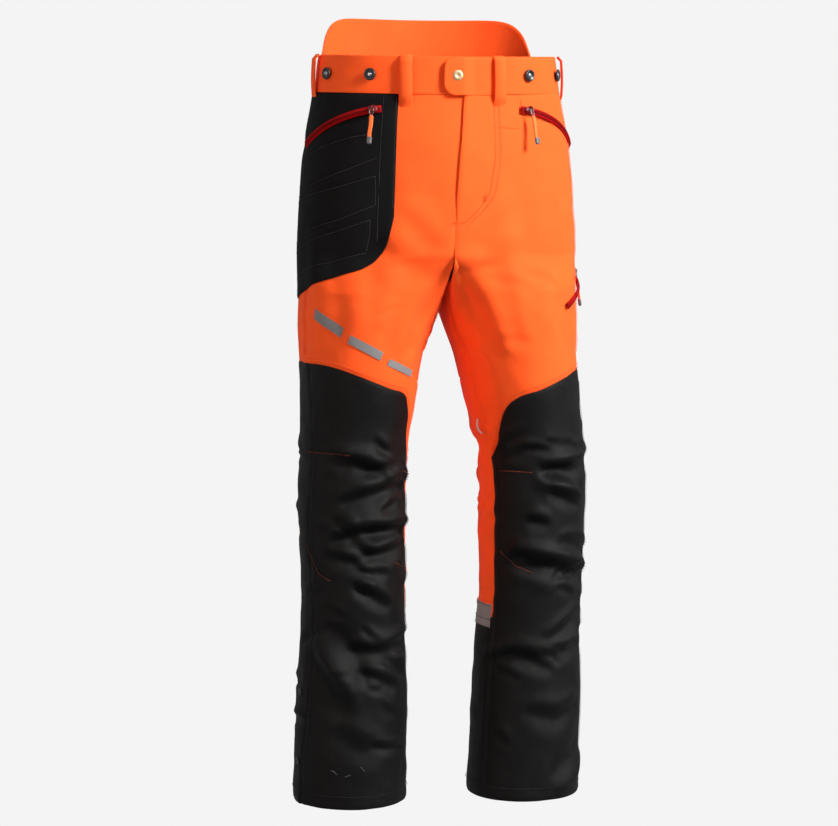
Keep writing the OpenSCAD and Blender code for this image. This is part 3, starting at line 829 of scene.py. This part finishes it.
for side, s in NAME.items():
    front = upper_panel(s + "_front_cloth", side, INSEAM, OUTSEAM, knee_edges[side])
    cross_hip(stand_for(front, "shell_orange", "hip_front_" + s, "thigh_front_" + s, "hip_flex_" + s), side)
    back = upper_panel(s + "_back_cloth", side, OUTSEAM, INSEAM + 360, lambda b: SPLIT_Z + 0 * b)
    cross_hip(stand_for(back, "shell_orange", "seat_" + s, "thigh_back_" + s, "hip_flex_" + s), side)
    outer_edge = cover_side(side)
    cover = panel(s + "_knee_cover", side, INSEAM, outer_edge, 0.0, knee_edges[side], BLACK, off=0.0006,
                  extra=cover_relief(side))
    cross_knee(stand_for(cover, "shell_black", "knee_top_" + s, "knee_flex_front_" + s, "shin_front_" + s), side)
    calf = panel(s + "_calf_cloth", side, lambda z: outer_edge(z) - 2, INSEAM + 360, CALF_LOW, SPLIT_Z, ORANGE)
    cross_knee(stand_for(calf, "shell_orange", "knee_flex_back_" + s, "calf_" + s), side)
    ankle = panel(s + "_ankle_cloth", side, SIDE_EDGE[side], INSEAM + 360, 0.0, CALF_LOW, BLACK, off=0.0003)
    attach(stand_for(ankle, "shell_black", "ankle_back_" + s), s + "_shin")
    band = panel(s + "_reflective_strip", side, SIDE_EDGE[side], INSEAM + 358, *BAND_STRIP, TAPE, off=0.0011,
                 thick=0.0008)
    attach(stand_for(band, "reflective_tape", "reflective_band_" + s), s + "_shin")

# ---- inside ----
PACK_LOW, PACK_TOP, PACK_LEAN = 0.050, 0.930, 44
PACKS = {"off": -0.0060, "thick": 0.0035, "fine": False}
LININGS = {"off": -0.0126, "thick": 0.0008, "fine": False}
BAGS = {"off": -0.0024, "thick": 0.0014, "fine": False}


def pack_left(z):
    return -68 + PACK_LEAN * ((z - PACK_LOW) / (PACK_TOP - PACK_LOW)) ** 2


def loose(b, z):
    """Fibre layers hang unevenly."""
    return 0.0007 * noise(b, z, 0.03, 61) - 0.0007


for side, s in NAME.items():
    for part, low, high, cross in (("lower", PACK_LOW, SPLIT_Z, cross_knee), ("upper", SPLIT_Z, PACK_TOP, cross_hip)):
        saw = panel(f"{s}_saw_pack_{part}", side, pack_left, 70.0, low, high, PACK, extra=loose, **PACKS)
        cross(stand_for(saw, "protective_pack", "saw_pack_" + s), side)
    for part, low, high, cross in (("lower", 0.015, SPLIT_Z, cross_knee),
                                   ("upper", SPLIT_Z, CROTCH_Z - 0.008, cross_hip)):
        leg = panel(f"{s}_leg_lining_{part}", side, -89.6, 269.6, low, high, MESH, **LININGS)
        cross(stand_for(leg, "lining_mesh", "leg_lining_" + s), side)
    half = panel(s + "_hip_lining", side, -22.0, 224.0, CROTCH_Z - 0.004, BAND_LOW - 0.002, MESH, **LININGS)
    cross_hip(stand_for(half, "lining_mesh", "hip_lining_" + s), side)
    bag = panel(s + "_front_pocket_bag", side, 0.0, 68.0, 0.800, 0.985, POCKET, **BAGS)
    cross_hip(stand_for(bag, "pocket_lining", s + "_pocket_bag"), side)
bag = panel("thigh_pocket_bag_cloth", LEFT, 58.0, 104.0, 0.604, lambda b: 0.715 + (b - 58) * 0.0007, POCKET, **BAGS)
cross_hip(stand_for(bag, "pocket_lining", "thigh_pocket_bag"), LEFT)

# ---- quilted panel over the right front pocket ----
QUILT_FROM = -7.5
QUILT_EDGE = smooth_table([(-9, .850), (-4, .800), (2, .778), (10, .766), (30, .754), (60, .738), (96, .718)])
QUILT_LINES = [[(12, .950), (27, .945), (54, .930), (90, .905)], [(5, .915), (25, .900), (57, .880), (94, .860)],
               [(6, .890), (32, .875), (60, .865), (94, .852)], [(5, .850), (31, .830), (60, .817), (94, .795)],
               [(8, .830), (31, .815), (60, .800), (94, .782)], [(10, .785), (39, .770), (70, .760), (94, .745)],
               [(6, .890), (5, .870), (5, .850)], [(8, .830), (8, .812), (10, .785)]]


def zip_line(b):
    """Height of the right pocket's zip."""
    return np.interp(b, [4, 42, 82], [.981, .965, .934])


def quilting(b, z):
    """Pinched along its stitches, pressed flat by the zip, and tucked in behind the waistband."""
    out = 0.0
    for path in QUILT_LINES:
        out = out + fold(b, z, 0.0030, -0.0007, path)
    out = out - 0.0014 * np.exp(-((z - dip(psi_at(b), z) - zip_line(b)) / 0.011) ** 2)
    return out - 0.0024 * smooth((z - BAND_LOW + 0.0035) / 0.003)


quilt = panel("quilted_pocket_panel", RIGHT, QUILT_FROM, 96.0, QUILT_EDGE, SEWN_TOP, QUILT, off=0.0026, thick=0.0014,
              extra=quilting)
cross_hip(stand_for(quilt, "quilted_black", "right_pocket_panel"), RIGHT)


# ---- fly ----
def fly_edge(z):
    """Angle of the flap's free edge."""
    return np.interp(z, [FLY_LOW, .86, .915, .995, 1.01], [-44.5, -44, -42, -38.5, -37.5])


def fly_stitch(z):
    """Angle of the stitched line that holds the flap."""
    return np.interp(z, [FLY_LOW, .825, .84, .865, .915, 1.01], [-43.5, -39, -31, -22, -17, -15.5])


def fly_stand(b, z):
    """The flap stands off most at its free edge."""
    share = np.clip((fly_stitch(z) - b) / np.maximum(fly_stitch(z) - fly_edge(z), 1), 0, 1)
    drop = np.clip((z - FLY_LOW) / 0.05, 0, 1)
    return 0.0042 * share ** 1.6 * drop - 0.0004


flap = panel("fly_flap_cloth", LEFT, fly_edge, fly_stitch, FLY_LOW, SEWN_TOP, ORANGE, off=0.0010, extra=fly_stand)
cross_hip(stand_for(flap, "shell_orange", "fly_flap"), LEFT)


# ---- waist ----
def loft(name, sections, material):
    """A solid through closed sections, an array of section, point and coordinate, with capped ends."""
    sections = np.array(sections)
    n, m, _ = sections.shape
    i, j = np.meshgrid(range(n - 1), range(m), indexing="ij")
    a, b = i * m + j, i * m + (j + 1) % m
    faces = np.stack([a, b, b + m, a + m], -1).reshape(-1, 4).tolist()
    faces += [list(range(m))[::-1], [(n - 1) * m + k for k in range(m)]]
    steps = np.linalg.norm(np.diff(sections, axis=0), axis=2).cumsum(0)
    along = np.concatenate([np.zeros((1, m)), steps])
    around = np.concatenate([[0], np.linalg.norm(np.diff(sections[0], axis=0), axis=1).cumsum()])
    cloth = np.stack([along, np.repeat(around[None], n, 0), 0 * along], -1).reshape(-1, 3)
    return outward_faces(new_object(name, sections.reshape(-1, 3), faces, material, cloth))


def outward_faces(obj):
    work = bmesh.new()
    work.from_mesh(obj.data)
    bmesh.ops.recalc_face_normals(work, faces=work.faces)
    work.to_mesh(obj.data)
    work.free()
    return obj


def hip_normal(psi, z):
    across = hip_point(psi + 0.5, z) - hip_point(psi - 0.5, z)
    return unit(np.cross(across, np.array([0, 0, 1.0]) + 0 * across))


def hip_surface(psi, z, out):
    """A point out metres outside the hips, level."""
    psi, z, out = np.broadcast_arrays(np.asarray(psi, float), np.asarray(z, float), np.asarray(out, float))
    z = z - dip(psi, z)
    return hip_point(psi, z) + hip_normal(psi, z) * out[..., None]


EDGE_ROUND = 0.0010


def strip_section(low, high, inner, outer, rows):
    """Points round a tall thin section as (out, z): up the outside and down the inside."""
    z = np.linspace(low + EDGE_ROUND, high - EDGE_ROUND, rows)
    corner = EDGE_ROUND * 0.3
    outside = [(outer, v) for v in z]
    inside = [(inner, v) for v in z[::-1]]
    top = [(outer - corner, high - corner), ((outer + inner) / 2, high), (inner + corner, high - corner)]
    bottom = [(inner + corner, low + corner), ((outer + inner) / 2, low), (outer - corner, low + corner)]
    return np.array(outside + top + inside + bottom)


def band_wave(psi, z):
    """The band is a little uneven, and its two stitched edges are pressed in."""
    out = 0.0009 * noise(psi, z, 0.05, 31) + 0.0003 * noise(psi, z, 0.016, 32)
    for line in (BAND_LOW + 0.0035, BAND_HIGH - 0.0035):
        out = out - 0.0006 * np.exp(-((z - line) / 0.0016) ** 2)
    return out


# Degrees between the sections of a strip
STRIP_TURN = 0.0050568 / STEP


def hip_strip(name, psi0, psi1, low, high, inner, outer, material, wave=None, rows=14, count=None):
    """A strip round the hips. low, high, inner and outer are numbers or functions of the angle."""
    low, high, inner, outer = as_functions(low, high, inner, outer)
    sections = []
    for psi in np.linspace(psi0, psi1, count or max(3, round(abs(psi1 - psi0) / STRIP_TURN))):
        pairs = strip_section(low(psi), high(psi), inner(psi), outer(psi), rows)
        lift = wave(psi, pairs[:, 1]) if wave else 0
        sections.append(hip_surface(psi, pairs[:, 1], pairs[:, 0] + lift))
    return loft(name, sections, material)


BAND_IN, BAND_OUT = -0.0025, 0.0010
# The two front parts meet a little to the wearer's left of the middle
OPENING = 5.5
for name, psi0, psi1 in (("waistband_right", OPENING - 0.2, -84), ("waistband_left", OPENING + 0.2, 84),
                         ("waistband_back", 84, 276)):
    band = hip_strip(name + "_cloth", psi0, psi1, BAND_LOW, BAND_HIGH, BAND_IN, BAND_OUT, BAND, band_wave)
    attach(stand_for(band, "waistband_orange", name), "waist")

RAISE_MIDDLE, RAISE_SPAN, RAISE_FOOT = 183, 67, BAND_HIGH + 0.002


def raise_top(psi):
    share = np.minimum(1, np.abs((psi - RAISE_MIDDLE) / RAISE_SPAN))
    return RAISE_FOOT + (RAISE_TOP - RAISE_FOOT) * (1 - share ** 8)


def raise_wave(psi, z):
    out = 0.0020 * noise(psi, z, 0.06, 41) + 0.0006 * noise(psi, z, 0.02, 42)
    return out - 0.0006 * np.exp(-((z - raise_top(psi) + 0.005) / 0.0016) ** 2)


raised = hip_strip("back_raise_cloth", RAISE_MIDDLE - RAISE_SPAN, RAISE_MIDDLE + RAISE_SPAN, BAND_HIGH - 0.001,
                   raise_top, -0.0024, 0.0, RAISE, raise_wave, rows=20)
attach(stand_for(raised, "raise_orange", "back_raise_panel"), "waist")

# The tab is round at its free end and comes down onto the band at the other
TAB_FROM, TAB_TO, TAB_ROUND = -4.6, 21.0, 0.016


def tab_cut(psi):
    """How much the round end takes off the tab's upper and lower edges."""
    x = np.clip(1 - (psi - TAB_FROM) * 0.0030 / TAB_ROUND, 0, 0.999)
    return TAB_ROUND * (1 - np.sqrt(1 - x * x))


def tab_out(psi):
    """How far the tab's inner face stands off."""
    return 0.0054 - 0.0056 * smooth((psi - 3.6) / 7)


tab = hip_strip("waist_tab_cloth", TAB_FROM, TAB_TO, lambda p: BAND_LOW - 0.001 + tab_cut(p),
                lambda p: BAND_HIGH - 0.001 - tab_cut(p), tab_out, lambda p: tab_out(p) + 0.0021, BAND, band_wave,
                count=70)
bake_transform(stand_for(tab, "waistband_orange", "waist_tab"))

shield = hip_strip("fly_shield_cloth", -12, 9, 0.897, BAND_LOW - 0.0005, -0.0140, -0.0125, ORANGE)
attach(stand_for(shield, "shell_orange", "fly_shield"), "waist")


LOOP_WIDTH, LOOP_STAND, LOOP_TAIL, LOOP_THICK = 0.0175, 0.0058, 0.018, 0.0011
LOOP_MIDDLE = 1.03


def belt_loop(psi):
    """One loop: sewn flat below and above, and bowed out between."""
    t = np.linspace(0, 1, 34)
    low, high = BAND_LOW - LOOP_TAIL, BAND_HIGH + 0.0005
    z = low + (high - low) * t
    rise = smooth(np.minimum(t / 0.22, (1 - t) / 0.10))
    out = 0.0014 + LOOP_STAND * rise * (1 - 0.12 * np.cos(2 * np.pi * t))
    half, flat = LOOP_WIDTH / 2, LOOP_WIDTH / 2 - 0.0006
    ring = [(-half, 0.2), (-flat, 1), (flat, 1), (half, 0.2), (flat, -0.6), (-flat, -0.6)]
    base, facing = hip_point(psi, LOOP_MIDDLE), hip_normal(psi, LOOP_MIDDLE)
    across = unit(np.cross([0, 0, 1.0], facing))
    sections = []
    for k in range(len(t)):
        ahead, behind = min(k + 1, len(t) - 1), max(k - 1, 0)
        along = unit(np.array([out[ahead] - out[behind], z[ahead] - z[behind]]))
        outward = facing * along[1] - np.array([0, 0, along[0]])
        centre = np.array([base[0], base[1], z[k] - dip(psi, z[k]) + HEM]) + facing * out[k]
        sections.append([centre + across * u + outward * v * LOOP_THICK for u, v in ring])
    return loft(f"belt_loop_{psi % 360}", sections, BAND)


for node, angles in (("belt_loops_front", (-85, -22, 22, 85)), ("belt_loops_back", (150, 180, 210))):
    for psi in angles:
        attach(stand_for(belt_loop(psi), "waistband_orange", node), "waist")


# ---- zips ----
# A pull's hinge stands this far off the cloth
HINGE_OUT = 0.012


class Arc:
    """The circle that a curved zip follows, found from its slider's and its pull's joints."""

    def __init__(self, joint, lean):
        self.centre = np.array(JOINT[joint]["pos_m"])
        self.axis = unit(np.array(JOINT[joint]["axis"]))
        hinge = np.array(JOINT[joint + "_pull"]["pos_m"]) - self.centre
        self.radial = unit(hinge - self.axis * (hinge @ self.axis))
        lean = math.radians(lean)
        self.lean = (math.cos(lean), math.sin(lean))
        self.radius = (hinge - self.out(0) * HINGE_OUT) @ self.radial

    def turned(self, angle):
        a = math.radians(angle)
        return self.radial * math.cos(a) + np.cross(self.axis, self.radial) * math.sin(a)

    def out(self, angle):
        return self.turned(angle) * self.lean[0] + self.axis * self.lean[1]

    def across(self, angle):
        return self.axis * self.lean[0] - self.turned(angle) * self.lean[1]

    def point(self, angle, out=0.0, shift=0.0):
        """angle is counted from the slider at rest; out is off the cloth, shift across the strip."""
        return (self.centre + self.turned(angle) * self.radius + self.out(angle) * out
                + self.across(angle) * shift)


def arc_strip(name, arc, angle0, angle1, profile, material):
    """A strip along the zip. profile gives (shift, out) points round its section."""
    sections = [[arc.point(a, out, shift) for shift, out in profile] for a in np.linspace(angle0, angle1, 60)]
    return loft(name, sections, material)


def rounded(width, low, high, corner=0.0004):
    """A section with its two upper corners cut."""
    half = width / 2
    return [(-half, low), (-half, high - corner), (-half + corner, high), (half - corner, high),
            (half, high - corner), (half, low)]


def lathe(name, profile, place, facing, material, count=40):
    """A turned shape. profile gives (radius, out) pairs; facing is the axis."""
    facing = unit(np.array(facing, float))
    u = unit(np.cross(facing, [0.01, 0.02, 1.0]))
    v = np.cross(facing, u)
    points, faces = [], []
    for r, out in profile:
        for a in np.linspace(0, 2 * np.pi, count, endpoint=False):
            points.append(np.array(place) + facing * out + (u * math.cos(a) + v * math.sin(a)) * max(r, 1e-5))
    for i in range(len(profile) - 1):
        for k in range(count):
            q = (k + 1) % count
            faces.append((i * count + k, i * count + q, (i + 1) * count + q, (i + 1) * count + k))
    return outward_faces(new_object(name, points, faces, material))


def tube(name, path, radius, material, sides, flat=1.0):
    """A round or flattened rod along a path."""
    path = np.array(path, float)
    along = unit(np.gradient(path, axis=0))
    side_way = unit(np.cross(along, [0.03, 0.11, 1.0] if abs(along[0][2]) < 0.9 else [1.0, 0.05, 0.02]))
    other = np.cross(along, side_way)
    ring = np.linspace(0, 2 * np.pi, sides, endpoint=False)
    radius = np.broadcast_to(radius, len(path))
    sections = (path[:, None] + side_way[:, None] * np.cos(ring)[None, :, None] * radius[:, None, None]
                + other[:, None] * (np.sin(ring) * flat)[None, :, None] * radius[:, None, None])
    return loft(name, sections, material)


def join_meshes(name, objs):
    """One object from several of the same material."""
    points, faces, base = [], [], 0
    for obj in objs:
        data = np.zeros(len(obj.data.vertices) * 3)
        obj.data.vertices.foreach_get("co", data)
        points.append(data.reshape(-1, 3))
        faces += [tuple(v + base for v in p.vertices) for p in obj.data.polygons]
        base += len(obj.data.vertices)
    out = new_object(name, np.concatenate(points), faces, objs[0].data.materials[0])
    for obj in objs:
        mesh = obj.data
        bpy.data.objects.remove(obj)
        bpy.data.meshes.remove(mesh)
    return out


TOOTH_PITCH, TOOTH_RADIUS = 0.0016, 0.00062


def zip_teeth(name, arc, angle0, angle1, out):
    """The coil: a row of small slanted bars on each side of the middle."""
    bars = []
    turn = math.degrees(TOOTH_PITCH / arc.radius)
    for k, a in enumerate(np.arange(angle0, angle1, turn)):
        shift = 0.0006 if k % 2 else -0.0006
        ends = [arc.point(a, out, shift - 0.0014), arc.point(a + turn * 0.25, out + 0.0005, shift),
                arc.point(a + turn * 0.5, out, shift + 0.0014)]
        bars.append(tube("bar", ends, TOOTH_RADIUS, TEETH, 6))
    return join_meshes(name, bars)


def both_ways(half_ring):
    """A section from one half of its points and the same points turned half round."""
    return half_ring + [(-x, -y) for x, y in half_ring]


CORD_RING = both_ways([(-1, 0), (-.8, .8), (-.35, 1), (0, .55), (.35, 1), (.8, .8)])
TIP_RING = both_ways([(-1, 0), (-.92, .8), (-.6, 1), (.6, 1), (.92, .8)])


def slider_body(arc, name):
    """A waisted plate over the coil with two side walls."""
    sections = []
    half_turn = math.degrees(0.0062 / arc.radius)
    for t in np.linspace(-1, 1, 21):
        half = (0.0098 - 0.0030 * t * t + 0.0012 * t) / 2
        top = 0.0066 + 0.0012 * (1 - t * t)
        ring = [(-half, 0.0046), (-half, top - 0.0005), (-half + 0.0008, top), (half - 0.0008, top),
                (half, top - 0.0005), (half, 0.0046)]
        sections.append([arc.point(half_turn * t, out, shift) for shift, out in ring])
    return loft(name + "_slider_body", sections, SLIDER)


def pull_parts(arc, name, body_slider, body_pull, slider_node, pull_node):
    """Slider with a small bridge, and a hanging cord with a moulded tip."""
    hinge = arc.point(0, HINGE_OUT)
    n = arc.out(0)
    y = unit(np.cross([0, 0, 1.0], n))
    z = np.cross(n, y)
    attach(stand_for(slider_body(arc, name), "zip_metal", slider_node), body_slider)
    arch = [hinge + z * 0.0036 * math.cos(a) + n * (0.0061 * math.sin(a) - 0.0044) for a in np.linspace(0, np.pi, 15)]
    bridge = tube(name + "_slider_bridge", arch, 0.0008, SLIDER, 8, 1.3)
    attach(bridge, body_slider)
    # A small steel link, then the cord doubled flat, then the tip
    link = [hinge + y * 0.0026 * math.cos(a) - z * (0.0052 - 0.0060 * math.sin(a))
            for a in np.linspace(0, 2 * np.pi, 25)[:-1]]
    ring = tube(name + "_pull_link", link + link[:1], 0.00062, METAL, 8)
    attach(ring, body_pull)
    cord, tip = [], []
    for t in np.linspace(0, 1, 24):
        width = 0.0031 * smooth(t / 0.12 + 0.35) * (1 - 0.12 * t)
        drop = 0.0100 + 0.0320 * t
        bend = 0.0006 * math.sin(5 * t)
        cord.append([hinge + y * (width * u + bend) + n * 0.00135 * v - z * drop for u, v in CORD_RING])
    rope = loft(name + "_pull_cord", cord, CORD)
    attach(stand_for(rope, "pull_orange", pull_node), body_pull)
    for t in np.linspace(0, 1, 14):
        width = 0.0033 * math.sqrt(max(0.02, 1 - max(0, (t - 0.75) / 0.25) ** 2)) * smooth(t / 0.05 + 0.6)
        thick = 0.0019 * math.sqrt(max(0.05, 1 - max(0, (t - 0.8) / 0.2) ** 2)) - (0.0003 if 0.3 < t < 0.45 else 0)
        drop = 0.0410 + 0.0105 * t
        tip.append([hinge + y * width * u + n * thick * v - z * drop for u, v in TIP_RING])
    end = loft(name + "_pull_tip", tip, TIP)
    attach(end, body_pull)


# Each zip: name, lean of its face out of the circle's plane and how far it runs, both in degrees,
# the body it is sewn to, and the short name of its slider and pull
ZIPS = [("right_pocket", 19, 56.7, "waist", "right"), ("left_pocket", -19, 56.7, "waist", "left"),
        ("thigh_pocket", 4, 52.2, "left_thigh", "thigh")]
# Degrees of zip before the slider at rest
ZIP_LEAD = 4.5
TAPE_SECTION, COIL_SECTION = rounded(0.0100, 0.0022, 0.0039), rounded(0.0044, 0.0034, 0.0047, 0.0006)
TEETH_OUT = 0.0049
for name, lean, sweep, body, short in ZIPS:
    arc = Arc(name + "_zip", lean)
    first, last = -ZIP_LEAD, sweep - ZIP_LEAD
    tape = arc_strip(name + "_zip_tape", arc, first, last, TAPE_SECTION, ZIP_RED)
    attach(stand_for(tape, "zip_red", name + "_zip"), body)
    coil = arc_strip(name + "_zip_coil", arc, first, last, COIL_SECTION, TEETH)
    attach(coil, body)
    teeth = zip_teeth(name + "_zip_teeth", arc, first + 1, last - 1, TEETH_OUT)
    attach(teeth, body)
    pull_parts(arc, name, short + "_slider", short + "_pull", short + "_zip_slider", short + "_zip_pull")

# ---- brace buttons and snaps ----
BUTTON_R = 0.0085
RIM = [(0, 0.0002), (0.0030, 0.0002), (0.0030, 0.0022), (BUTTON_R - 0.0012, 0.0024), (BUTTON_R - 0.0002, 0.0030),
       (BUTTON_R, 0.0038), (BUTTON_R - 0.0004, 0.0048), (BUTTON_R - 0.0014, 0.0054), (0.0058, 0.0052),
       (0.0046, 0.0042), (0.0034, 0.0039), (0, 0.0038)]
DISC = [(0.0033, 0.0037), (0.0033, 0.0042), (0.0028, 0.0047), (0.0012, 0.0050), (0, 0.0050)]
CAP = [(0, 0), (0.0071, 0), (0.0075, 0.0004), (0.0074, 0.0010), (0.0066, 0.0016), (0.0050, 0.0020), (0.0028, 0.0022),
       (0.0022, 0.0017), (0, 0.0015)]
CAP_PSI = 1.5
BUTTONS = [(psi, BUTTON_Z) for psi in (-70, -40, 40, 70)] + [(psi, BAND_HIGH + 0.014) for psi in (163, 197)]
rims, discs = [], []
for psi, z in BUTTONS:
    lift = 0.0014 if z < BAND_HIGH else 0.0006
    place, facing = hip_surface(psi, z, lift), hip_normal(psi, z)
    rims.append(lathe("rim", RIM, place, facing, BUTTON))
    discs.append(lathe("disc", DISC, place, facing, SILVER, 24))
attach(stand_for(join_meshes("brace_button_rims", rims), "button_metal", "brace_buttons"), "waist")
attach(stand_for(join_meshes("brace_button_discs", discs), "button_metal", "brace_buttons"), "waist")

cap = lathe("snap_cap_dome", CAP, hip_surface(CAP_PSI, BUTTON_Z, 0.0074), hip_normal(CAP_PSI, BUTTON_Z), BRASS)
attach(stand_for(cap, "snap_brass", "snap_cap"), "waist_tab")

# ---- threads, trims and reflective bars ----
# How high the thread lies on the orange cloth, and how far two rows of stitches lie from a seam
TOP = 0.0009
ROWS = (0.0022, 0.0072)
for side, s in NAME.items():
    # On the hips and thighs
    lines = [along_seam(side, beside(OUTSEAM, w), .640, BAND_LOW, TOP) for w in ROWS]
    lines += [along_seam(side, beside(INSEAM, w), .540, .725, TOP) for w in ROWS]
    lines += [along_seam(side, beside(CENTRE_BACK, -w), .800, BAND_LOW, TOP) for w in ROWS]
    if side == LEFT:
        lines += [along_seam(side, lambda z: fly_stitch(z) - 1.2, .826, 1.006, 0.0016),
                  along_seam(side, lambda z: fly_stitch(z) + 2.6, .822, 1.006, 0.0013),
                  along_edge(side, lambda b: .965 - .005 * (b + 25) / 26, -20, 1, TOP),
                  along_seam(side, 5.5, .982, 1.003, TOP),
                  bartack(side, -26, .860, 0.009, 0.0026, math.pi / 2), bartack(side, -47, .8275, 0.012, 0.0030)]
    cross_hip(stitches(s + "_hip_stitching", lines, THREAD_ORANGE_SHELL), side)
    # On the upper edge of the knee cover
    lines = [along_edge(side, lambda b, w=w: knee_edges[side](b) + w, INSEAM + 1, OUTSEAM - 1, 0.0013)
             for w in (0.0022, 0.0075)]
    cross_hip(stitches(s + "_cover_edge_stitching", lines, THREAD_ORANGE_SHELL), side)
    # On the black cover, and the seam down its outside
    lines = [along_seam(side, beside(side_line, -0.0042), .022, .600, 0.0019),
             along_seam(side, beside(INSEAM, 0.0024), .022, .495, 0.0015),
             along_seam(side, beside(INSEAM, 0.0072), .022, .495, 0.0015)]
    cross_knee(stitches(s + "_cover_stitching", lines, THREAD_BLACK), side)
    # Round the hem, the ankle cloth's upper edge and the reflective strip
    lines = [along_edge(side, 0.019, INSEAM + 1, INSEAM + 359, 0.0015, 420),
             along_edge(side, CALF_LOW - 0.004, SIDE_EDGE[side] + 1, INSEAM + 358, 0.0013, 300)]
    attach(stitches(s + "_hem_stitching", lines, THREAD_BLACK), s + "_shin")
    lines = [along_edge(side, z, SIDE_EDGE[side] + 1, INSEAM + 357, 0.0016, 300)
             for z in (BAND_STRIP[0] + 0.0022, BAND_STRIP[1] - 0.0022)]
    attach(stitches(s + "_strip_stitching", lines, THREAD_GREY), s + "_shin")
    # Contrast thread along the knee darts
    lines = [on_cloth(side, path, 0.0016) for path in DARTS[side]]
    cross_knee(stitches(s + "_dart_stitching", lines, THREAD_ORANGE, radius=0.0004), side)

# Two snaps and three bartacks near the hem of the right leg
for k, z in enumerate((.160, .060)):
    place, facing = surface(RIGHT, 77.0, z, 0.0016), normal(RIGHT, 77.0, z)
    snap = lathe(f"right_hem_snap_{k + 1}", [(r * 0.72, o * 0.7) for r, o in CAP], place, facing, SNAP_DARK, 32)
    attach(snap, "right_shin")
lines = [bartack(RIGHT, 26, .055, 0.010, 0.0016, 0.5), bartack(RIGHT, 12, .050, 0.008, 0.0016, -0.3),
         bartack(RIGHT, -2, .060, 0.007, 0.0016, 0.9)]
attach(stitches("right_hem_bartacks", lines, THREAD_GREY), "right_shin")

# A pale loop at the inner back of the left knee
t = np.linspace(0, 1, 30)
b, z = 281 + 2.0 * np.sin(np.pi * t), 0.547 - 0.021 * t
path = surface(LEFT, b, z, 0.0012) + normal(LEFT, b, z) * (0.0060 * np.sin(np.pi * t))[:, None]
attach(tube("left_knee_loop", path, 0.0013, PALE, 8), "left_thigh")

# Quilting thread
lines = [on_cloth(RIGHT, path, 0.0028) for path in QUILT_LINES]
lines += [along_seam(RIGHT, 3.0, .800, 1.005, 0.0027),
          along_seam(RIGHT, beside(QUILT_FROM, 0.0024), .846, 1.006, 0.0024)]
cross_hip(stitches("quilting_stitches", lines, THREAD_GREY, radius=0.0003), RIGHT)

# Three plain slanted bars of reflective print on the right thigh: two angles and two heights of each
BARS = [(57, 31, .694, .668), (24, -6, .661, .637), (-13, -44, .630, .611)]
for k, (b0, b1, z0, z1) in enumerate(BARS):
    u, v = np.meshgrid(np.linspace(0, 1, 40), np.linspace(0, 1, 12), indexing="ij")
    z = z0 + (z1 - z0) * u + (0.0135 - 0.0022 * k) * v
    b = b0 + (b1 - b0) * u - 2.2 * v
    bar = shell(f"right_thigh_bar_{k + 1}", surface(RIGHT, b, z, 0.0007), np.ones(b.shape, bool), True, PRINT,
                0.0004, thread_place(b, z, 0.1))
    cross_hip(bar, RIGHT)

# ---- CAD nodes that stay in sight ----
for node, material in (("fly_zip", ZIP_RED), ("fly_zip_slider", METAL), ("fly_zip_pull", METAL),
                       ("snap_socket", BRASS), ("snap_stud", BRASS)):
    slots = bpy.data.objects[node].data.materials
    slots.clear()
    slots.append(material)

# ---- light and surroundings ----
middle = up * (HEM + 0.6)
# Each light: name; places forward, sideways and up from the middle; size, power and colour
for name, ahead, aside, above, size, power, color in (("key", -1.7, 2.6, 1.9, 1.1, 250, (1, 0.99, 0.96)),
                                                      ("fill", -2.6, -2.6, 0.5, 2.4, 40, (1, 0.74, 0.64)),
                                                      ("rim_left", 1.2, -2.4, 0.8, 1.4, 3, (1, 1, 1)),
                                                      ("rim_right", 1.2, 2.4, 0.8, 1.4, 3, (1, 1, 1))):
    data = bpy.data.lights.new(name, "AREA")
    data.shape, data.size, data.energy, data.color = "DISK", size, power, color
    lamp = add_object(name, data)
    aim(lamp, middle + forward * ahead + sideways * aside + up * above, middle)

world = bpy.data.worlds.new("world")
world.use_nodes = True
sky = world.node_tree.nodes["Background"].inputs
sky["Color"].default_value = (0.90, 0.90, 0.90, 1)
sky["Strength"].default_value = 0.36
bpy.context.scene.world = world
bpy.context.scene.view_settings.view_transform = "Standard"

# A pale room that lights nothing
backdrop = Graph("backdrop")
glow = backdrop.nodes.new("ShaderNodeEmission")
tone = backdrop.ramp(backdrop.noise(0.5, 2.0), (0.0, (0.900, 0.900, 0.900)), (1.0, (0.910, 0.910, 0.910)))
backdrop.put(glow, Color=tone)
backdrop.put(backdrop.nodes["Material Output"], Surface=glow.outputs["Emission"])


def plain(name, corners):
    mesh = bpy.data.meshes.new(name)
    mesh.from_pydata([tuple(c) for c in corners], [], [(0, 1, 2, 3)])
    mesh.materials.append(backdrop.material)
    obj = add_object(name, mesh)
    obj.visible_diffuse = obj.visible_glossy = obj.visible_transmission = obj.visible_shadow = False


FLOOR_DROP, FAR = 0.30, 14
low = HEM - FLOOR_DROP
high = low + FAR
corners = [(-FAR, -FAR), (FAR, -FAR), (FAR, FAR), (-FAR, FAR)]
plain("floor", [(x, y, low) for x, y in corners])
plain("ceiling", [(x, y, high) for x, y in corners])
for k in range(4):
    a, b = corners[k], corners[(k + 1) % 4]
    plain(f"wall_{k + 1}", [(*a, low), (*b, low), (*b, high), (*a, high)])
